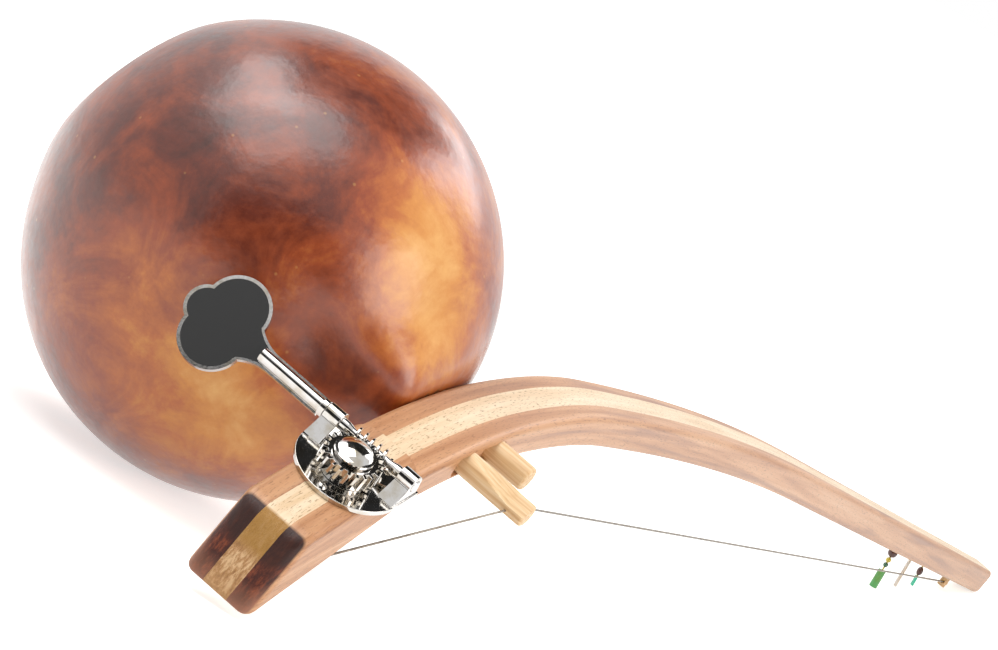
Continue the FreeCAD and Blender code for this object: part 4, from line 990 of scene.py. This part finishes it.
@dataclass
class Dowels:
    """Two whittled dowels that hold the gourd, their collars and lock pins.

    Attributes:
        stave: The stave that they go through.
        radius: Radius of both dowels.
        chamfer: Radius of the broken free end.
        string_reach: How far the string's dowel stands out of the stave.
        rest_reach: How far the other one stands out.
        facet_depth: Depth of the planed facet at the string's hole.
        facet_angle: Direction that the facet faces, in degrees from X towards Z.
        root: Y where the facet starts.
        hole: Y of the string's hole.
    """

    stave: Stave
    radius: float = 4.7
    chamfer: float = 1.2
    string_reach: float = 28.0
    rest_reach: float = 15.2
    facet_depth: float = 3.0
    facet_angle: float = 98.0
    root: float = -13.5
    hole: float = -34.3

    def dowel(self, name: str, station: float, free_end: float, node: str, planed: bool) -> None:
        """Builds one dowel as rings along Y, with its end broken and one side planed away.

        Args:
            name: Name of the piece.
            station: Place along the limb.
            free_end: Y of the free end.
            node: CAD node that it replaces.
            planed: Whether a tapering facet is cut towards the free end.
        """
        centre, _ = self.stave.limb(np.array([station]), self.stave.thickness / 2)
        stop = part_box(node)[1]
        end = float(np.dot(np.array(stop) - self.stave.place.origin, self.stave.place.axes[1]) / MM)
        body = np.linspace(free_end + self.chamfer, end - 2.5, 90)
        arc = np.linspace(0, math.pi / 2, 5)
        y = np.concatenate([free_end + self.chamfer * (1 - np.cos(arc))[:-1], body, [end - 2.4]])
        broken = self.radius - self.chamfer * (1 - np.sin(arc))[:-1]
        radius = np.concatenate([broken, np.full(len(body), self.radius), [self.radius - 0.4]])
        angle = np.linspace(0, 2 * math.pi, 72, endpoint=False)
        x = radius[:, None] * np.cos(angle)
        z = radius[:, None] * np.sin(angle)
        if planed:
            tilt = math.radians(self.facet_angle)
            taper = np.clip((self.root - y) / (self.root - self.hole), 0, 1) ** 1.2
            limit = (self.radius - self.facet_depth * taper)[:, None]
            over = np.clip(x * math.cos(tilt) + z * math.sin(tilt) - limit, 0, None)
            x, z = x - over * math.cos(tilt), z - over * math.sin(tilt)
        grid = np.stack([centre[0, 0] + x, y[:, None] + 0 * x, centre[0, 1] + z], axis=-1)
        piece = surface(name, self.stave.place.world(grid), sharp=22.0)
        adopt(piece, Body.BOW, node)
        self.stave.finishes.dowel.dress(piece)
        LOG.info("%s built", name)

    def build(self) -> None:
        """Builds both dowels and refines what locks them inside the gourd."""
        one, two = self.stave.dowels
        points, _ = self.stave.limb(np.array([one, two]))
        half = self.stave.half_width(points[:, 0])
        self.dowel("string_dowel", one, -(half[0] + self.string_reach), "string_peg", True)
        self.dowel("rest_dowel", two, -(half[1] + self.rest_reach), "rest_peg", False)
        for node in ("string_peg_collar", "rest_peg_collar", "lock_pins", "string_anchor"):
            self.stave.finishes.dowel.dress(refined(node, Body.BOW, 0.3))


# ------------------------------------------------------------------ gourd


@dataclass
class Gourd:
    """Hollow calabash: a lobed ball with a flat at the stave and a cut mouth.

    Attributes:
        stave: The stave that it sits against.
        radius: Radius of the ball.
        wall: Thickness of the rind.
        seat_radius: Radius of the flat at the stave.
        x: Place of the centre along the head's direction.
        z: Height of the centre over the head.
        mouth_radius: Radius of the cut mouth.
        mouth_lift: Angle in degrees that the mouth looks up.
        mouth_swing: Angle in degrees that it looks towards the tip.
        gap: Clearance between the flat and the stave.
        valley_depth: Depth of the valley between the two lobes.
        valley_width: Half-width of the valley, in degrees.
        valley_start: Angle in degrees of the valley about the flat's axis, where it starts at valley_from.
        valley_from: Angle in degrees from the flat's middle at which valley_start holds.
        valley_bend: How many degrees the valley turns for each degree nearer the flat.
        wave_depth: Depth of the slow waves of the rind.
        swell_flat: How near the dowels' line the rind meets the stave.
        swell_reach: How far from that line it still swells.
        swell_fade: Heights over the flat between which the swelling fades.
        base_tone: Tone of the stain away from its clouds.
        clouds: (direction from the centre, spread, change of tone) of light and dark clouds, partly the stain
            and partly painted light: painted shade by the stave, painted bounce light and sheen.
    """

    stave: Stave
    radius: float = 84.0
    wall: float = 4.5
    seat_radius: float = 13.0
    x: float = 143.1
    z: float = -31.1
    mouth_radius: float = 40.0
    mouth_lift: float = 10.3
    mouth_swing: float = 8.6
    gap: float = 0.3
    valley_depth: float = 4.2
    valley_width: float = 10.0
    valley_start: float = 135.0
    valley_from: float = 84.0
    valley_bend: float = 0.55
    wave_depth: float = 0.8
    swell_flat: float = 7.0
    swell_reach: float = 32.0
    swell_fade: tuple[float, float] = (12.0, 34.0)
    base_tone: float = 0.36
    clouds: tuple[tuple[tuple[float, float, float], float, float], ...] = (
        # The bright clouds at (-0.84, -0.54, -0.06), (-0.17, -0.62, 0.77) and (-0.30, -0.81, 0.51) are partly
        # the amber stain and partly painted light: bounce light from the table on the first, sheen on the other
        # two.
        ((-0.98, -0.08, 0.17), 0.34, 0.18), ((-0.84, -0.54, -0.06), 0.32, 0.40),
        ((-0.17, -0.62, 0.77), 0.22, 0.36), ((-0.30, -0.81, 0.51), 0.24, 0.30),
        ((-0.80, -0.15, 0.59), 0.26, -0.14), ((-0.76, 0.59, 0.27), 0.30, -0.14),
        # The dark cloud at (-0.65, -0.73, 0.23) on the next line is painted shade in the valley where the rind
        # comes near the stave.
        ((-0.41, 0.00, 0.91), 0.36, -0.10), ((-0.65, -0.73, 0.23), 0.17, -0.34),
        ((0.07, 0.56, 0.83), 0.4, -0.05),
        ((0.6, -0.4, 0.5), 0.4, 0.2), ((0.4, 0.3, -0.8), 0.5, 0.15), ((0.8, 0.4, 0.1), 0.35, -0.2),
    )

    @property
    def centre(self) -> np.ndarray:
        """Works out the centre of the ball, whose flat is the gap away from the stave.

        Returns:
            The centre in the stave's frame.
        """
        seat = math.sqrt(self.radius ** 2 - self.seat_radius ** 2)
        half = float(self.stave.half_width(np.array([self.x]))[0])
        return np.array([self.x, half + self.gap + seat, self.z])

    def mouth(self) -> np.ndarray:
        """Works out where the mouth looks, tilted up and swung to the tip.

        Returns:
            The unit direction in the stave's frame.
        """
        lift, swing = math.radians(self.mouth_lift), math.radians(self.mouth_swing)
        level = np.array([math.sin(swing), math.cos(swing), 0.0])
        return np.array([level[0], level[1] * math.cos(lift), level[1] * math.sin(lift)])

    def dent(self, way: np.ndarray) -> np.ndarray:
        """Works out how far the skin lies under the ball.

        A shallow valley follows a bent meridian of the flat's axis, and slow waves cross the rest.

        Args:
            way: Unit directions from the centre.

        Returns:
            The depth in mm in each direction.
        """
        from_seat = np.degrees(np.arccos(np.clip(-way[..., 1], -1, 1)))
        azimuth = np.degrees(np.arctan2(way[..., 2], way[..., 0]))
        valley = self.valley_start + (self.valley_from - from_seat) * self.valley_bend
        apart = ((azimuth - valley + 180) % 360 - 180) * np.sin(np.radians(from_seat))
        fade = 1 - smooth_step(30.0, 88.0, from_seat)
        trough = self.valley_depth * np.exp(-(apart / self.valley_width) ** 2) * fade
        slow, slower = 4.3 * way[..., 2] + 2.2 * way[..., 1], 3.1 * way[..., 0] + 1.0
        waves = 0.5 + 0.25 * np.sin(slower) + 0.25 * np.sin(slow)
        return trough + self.wave_depth * waves

    def swell(self, points: np.ndarray, seat: float) -> np.ndarray:
        """Lets the rind swell out to the stave round both dowels, so that no bare dowel shows between them.

        Args:
            points: Points from the centre, in mm.
            seat: Y of the flat from the centre.

        Returns:
            The points, drawn towards the flat near the dowels.
        """
        place = points[..., [0, 2]] + self.centre[[0, 2]]
        ends, _ = self.stave.limb(np.array(self.stave.dowels), self.stave.thickness / 2)
        run = ends[1] - ends[0]
        share = np.clip(((place - ends[0]) @ run) / (run @ run), 0, 1)
        apart = np.linalg.norm(place - (ends[0] + share[..., None] * run), axis=-1)
        height = points[..., 1] - seat
        beside = 1 - smooth_step(self.swell_flat, self.swell_reach, apart)
        pull = beside * (1 - smooth_step(*self.swell_fade, height))
        raised = points.copy()
        raised[..., 1] -= height * pull
        return raised

    def tone(self, way: np.ndarray) -> np.ndarray:
        """Works out the tone: the stain's clouds, with painted shade and painted light among them, summed as
        round bells.

        Args:
            way: Unit directions from the centre.

        Returns:
            The tone in each direction.
        """
        total = np.full(way.shape[:-1], self.base_tone)
        for centre, spread, change in self.clouds:
            middle = np.array(centre) / np.linalg.norm(centre)
            total += change * np.exp(-((1 - way @ middle) / spread ** 2))
        return total

    def build(self) -> None:
        """Builds the shell as rings about the mouth's axis: up its inside and down its outside."""
        mouth = self.mouth()
        side = np.cross(mouth, [0.0, 0.0, 1.0])
        side /= np.linalg.norm(side)
        other = np.cross(mouth, side)
        plane = math.sqrt(self.radius ** 2 - self.mouth_radius ** 2)
        inner = self.radius - self.wall
        inside = np.linspace(math.pi, math.acos(plane / inner), 60)
        outside = np.linspace(math.acos(plane / self.radius), math.pi, 200)
        polar = np.concatenate([inside, outside])
        angle = np.linspace(0, 2 * math.pi, 260, endpoint=False)
        ring = np.cos(angle)[:, None] * side + np.sin(angle)[:, None] * other
        way = np.cos(polar)[:, None, None] * mouth + np.sin(polar)[:, None, None] * ring
        dent = self.dent(way)
        rim = math.acos(plane / self.radius)
        dent = dent * smooth_step(rim, rim + 0.25, polar)[:, None]
        within = np.arange(len(polar))[:, None] < len(inside)
        depth = np.where(within, self.wall + dent * 0.8, dent)
        points = way * (self.radius - depth)[..., None]
        seat = -math.sqrt(self.radius ** 2 - self.seat_radius ** 2)
        points[..., 1] = np.maximum(points[..., 1], np.where(within, seat + self.wall, seat))
        flags = within.astype(float) + 0 * dent
        points = self.swell(points, seat)
        grid = self.stave.place.world(points + self.centre)
        # The tone attribute holds the stain together with the clouds' painted shade by the stave and painted
        # bounce light and sheen.
        piece = surface("calabash", grid, {"tone": self.tone(way), "inside": flags}, caps=False, sharp=40.0)
        adopt(piece, Body.BOW, "gourd_shell")
        self.stave.finishes.gourd.dress(piece)
        LOG.info("calabash built")


# ------------------------------------------------------------------ tuner, string and tassels


@dataclass
class Tuner:
    """Worm tuning machine with its post and key."""

    place: StaveFrame
    finishes: Finishes

    def build(self) -> None:
        """Refines every node of the machine and dresses it."""
        chrome = {
            "tuner_plate": (Body.BOW, 0.25), "tuner_screws": (Body.BOW, 0.06), "tuner_gear": (Body.POST, 0.12),
            "gear_cap": (Body.POST, 0.15), "tuner_post": (Body.POST, 0.2), "worm_shaft": (Body.KEY, 0.05),
            "worm_collar": (Body.KEY, 0.25), "tuner_key": (Body.KEY, 0.0),
        }
        for node, (body, bevel) in chrome.items():
            self.finishes.chrome.dress(refined(node, body, bevel))
        for node in ("key_inlay_front", "key_inlay_back"):
            self.finishes.lacquer.dress(refined(node, Body.KEY, 0.0))
        self.finishes.brass.dress(refined("post_ferrule", Body.BOW, 0.2))
        LOG.info("tuner dressed")


@dataclass
class Trimmings:
    """Steel string and bead tassels."""

    finishes: Finishes

    def build(self) -> None:
        """Refines the string, its ball and the tassels."""
        kinds = {
            "bow_string": (Body.BOW, self.finishes.steel, 0.0),
            "string_winding": (Body.POST, self.finishes.steel, 0.0),
            "string_ball": (Body.BOW, self.finishes.brass, 0.0),
            "tassel_threads": (Body.BOW, self.finishes.thread, 0.0),
            "tassel_wood_beads": (Body.BOW, self.finishes.brown_bead, 0.0),
            "tassel_yellow_bead": (Body.BOW, self.finishes.yellow_bead, 0.0),
            "tassel_green_bead": (Body.BOW, self.finishes.green_bead, 0.0),
            "tassel_tube": (Body.BOW, self.finishes.green_tube, 0.3),
            "tassel_teal_strip": (Body.BOW, self.finishes.teal_strip, 0.15),
            "tassel_pale_strip": (Body.BOW, self.finishes.pale_strip, 0.15),
        }
        for node, (body, finish, bevel) in kinds.items():
            finish.dress(refined(node, body, bevel))
        LOG.info("trimmings dressed")


# ------------------------------------------------------------------ studio


@dataclass
class Studio:
    """White table, soft light and the camera.

    Attributes:
        place: The stave's own frame.
        camera_at: Place of the camera in the stave's frame, in mm.
        camera_up: Direction of the picture's up in the stave's frame.
        camera_back: Direction from the object to the camera in the stave's frame.
        lens: Focal length in mm on a sensor 36 mm wide.
        head: Place in metres that the lamps look at.
        cards_round: Place in metres that the cards hang round.
        table_half: Half the table's side in metres.
        fill: Level of the world's light on the object.
    """

    place: StaveFrame
    camera_at: tuple[float, float, float] = (-1638.9, -524.6, 1277.3)
    camera_up: tuple[float, float, float] = (0.3131, 0.6315, 0.7094)
    camera_back: tuple[float, float, float] = (-0.7921, -0.2384, 0.5618)
    lens: float = 239.2
    head: tuple[float, float, float] = (-0.45, -0.02, 0.08)
    cards_round: tuple[float, float, float] = (-0.5, -0.03, 0.08)
    table_half: float = 6.0
    fill: float = 0.55

    def camera(self) -> None:
        """Places the long lens that looks down the stave from beyond its nose."""
        data = bpy.data.cameras.new("camera")
        data.lens = self.lens
        data.sensor_width = 36.0
        data.clip_end = 20.0
        camera = bpy.data.objects.new("camera", data)
        bpy.context.scene.collection.objects.link(camera)
        back = self.place.direction(self.camera_back).normalized()
        up = self.place.direction(self.camera_up).normalized()
        right = up.cross(back).normalized()
        up = back.cross(right)
        turn = Matrix((right, up, back)).transposed().to_4x4()
        camera.matrix_world = Matrix.Translation(self.place.world(np.array(self.camera_at)).tolist()) @ turn
        bpy.context.scene.camera = camera

    def lamp(self, name: str, at: Sequence[float], size: float, watts: float, color: str = "#ffffff") -> None:
        """Adds a square soft light that looks at the bow's head.

        Args:
            name: Name of the lamp.
            at: Place in metres.
            size: Side of the square in metres.
            watts: Power.
            color: Colour of the light.
        """
        data = bpy.data.lights.new(name, "AREA")
        data.size = size
        data.energy = watts
        data.color = linear(color)[:3]
        lamp = bpy.data.objects.new(name, data)
        bpy.context.scene.collection.objects.link(lamp)
        aim = Vector(self.head) - Vector(at)
        lamp.location = at
        lamp.rotation_euler = aim.to_track_quat("-Z", "Y").to_euler()

    def card(self, name: str, way: Sequence[float], distance: float, side: float, strength: float) -> None:
        """Hangs a plain card that only gloss sees, which gives metal and varnish their dark and bright bands.

        Args:
            name: Name of the card.
            way: Direction from the head, in the stave's frame.
            distance: How far away it hangs, in metres.
            side: Side of the square in metres.
            strength: Its light, near 0 for a black card.
        """
        card = square(name, side / 2)
        out = self.place.direction(way).normalized()
        card.location = Vector(self.cards_round) + out * distance
        card.rotation_euler = out.to_track_quat("Z", "Y").to_euler()
        made = blank_material(name)
        light = add(made.node_tree, "ShaderNodeEmission", inputs={
            "Color": linear("#ffffff"), "Strength": strength})
        add(made.node_tree, "ShaderNodeOutputMaterial", inputs={"Surface": light.outputs[0]})
        card.data.materials.append(made)
        card.visible_camera = False
        card.visible_diffuse = False
        card.visible_shadow = False
        card.visible_transmission = False

    def white_sight(self, tree: bpy.types.NodeTree) -> bpy.types.NodeSocket:
        """Tells what the camera, a gloss or a clear surface sees from what only lights the object.

        Args:
            tree: Node tree of the world or of the table's material.

        Returns:
            A socket that is 1 for what is seen.
        """
        ray = add(tree, "ShaderNodeLightPath")
        gloss = add(tree, "ShaderNodeMath", {"operation": "MAXIMUM"}, {
            0: ray.outputs["Is Glossy Ray"], 1: ray.outputs["Is Transmission Ray"]})
        return add(tree, "ShaderNodeMath", {"operation": "MAXIMUM"}, {
            0: ray.outputs["Is Camera Ray"], 1: gloss.outputs[0]}).outputs[0]

    def world_light(self) -> None:
        """White round the table, with a plain level of fill."""
        world = bpy.data.worlds.new("studio")
        bpy.context.scene.world = world
        world.use_nodes = True
        tree = world.node_tree
        tree.nodes.clear()
        strength = add(tree, "ShaderNodeMapRange", inputs={
            "Value": self.white_sight(tree), "To Min": self.fill, "To Max": 1.0})
        light = add(tree, "ShaderNodeBackground", inputs={
            "Color": linear("#ffffff"), "Strength": strength.outputs[0]})
        add(tree, "ShaderNodeOutputWorld", inputs={"Surface": light.outputs[0]})

    def table(self) -> None:
        """White table that keeps the bow's shadow."""
        table = square("table", self.table_half)
        made = blank_material("white_table")
        tree = made.node_tree
        matte = add(tree, "ShaderNodeBsdfDiffuse", inputs={"Color": linear("#e8e8e6")})
        glow_strength = add(tree, "ShaderNodeMapRange", inputs={
            "Value": self.white_sight(tree), "To Min": 0.12, "To Max": 0.62})
        glow = add(tree, "ShaderNodeEmission", inputs={
            "Color": linear("#ffffff"), "Strength": glow_strength.outputs[0]})
        both = add(tree, "ShaderNodeAddShader", inputs={0: matte.outputs[0], 1: glow.outputs[0]})
        add(tree, "ShaderNodeOutputMaterial", inputs={"Surface": both.outputs[0]})
        table.data.materials.append(made)

    def build(self) -> None:
        """Sets up the whole studio."""
        self.camera()
        self.world_light()
        self.table()
        self.card("black_card_before_the_nose", (-0.83, -0.31, 0.46), 2.6, 3.7, 0.03)
        self.card("black_card_over_the_tip", (0.79, 0.24, 0.56), 1.3, 1.1, 0.03)
        self.card("bright_card_over_the_gourd", (0.42, 0.60, 0.68), 1.7, 0.9, 5.0)
        self.card("bright_card_beside_the_tip", (0.84, -0.20, 0.50), 1.9, 0.6, 5.0)
        self.lamp("high_softbox", (-0.9, 0.5, 1.6), 1.4, 22.0)
        self.lamp("peg_side_softbox", (-0.7, -1.6, 0.7), 1.0, 14.0, "#fff8f0")
        self.lamp("tip_side_softbox", (1.0, -0.4, 1.3), 0.9, 8.0)
        bpy.context.scene.view_settings.view_transform = "Standard"


def main() -> None:
    """Builds the bow and its studio on the loaded frame."""
    logging.basicConfig(level=logging.INFO, format="%(name)s: %(message)s")
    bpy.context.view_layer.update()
    place = StaveFrame.from_joints(GEAR_X)
    finishes = Finishes.of(place)
    stave = Stave(place, finishes)
    Studio(place).build()
    stave.build()
    Dowels(stave).build()
    Gourd(stave).build()
    Tuner(place, finishes).build()
    Trimmings(finishes).build()


if __name__ == "__main__":
    main()
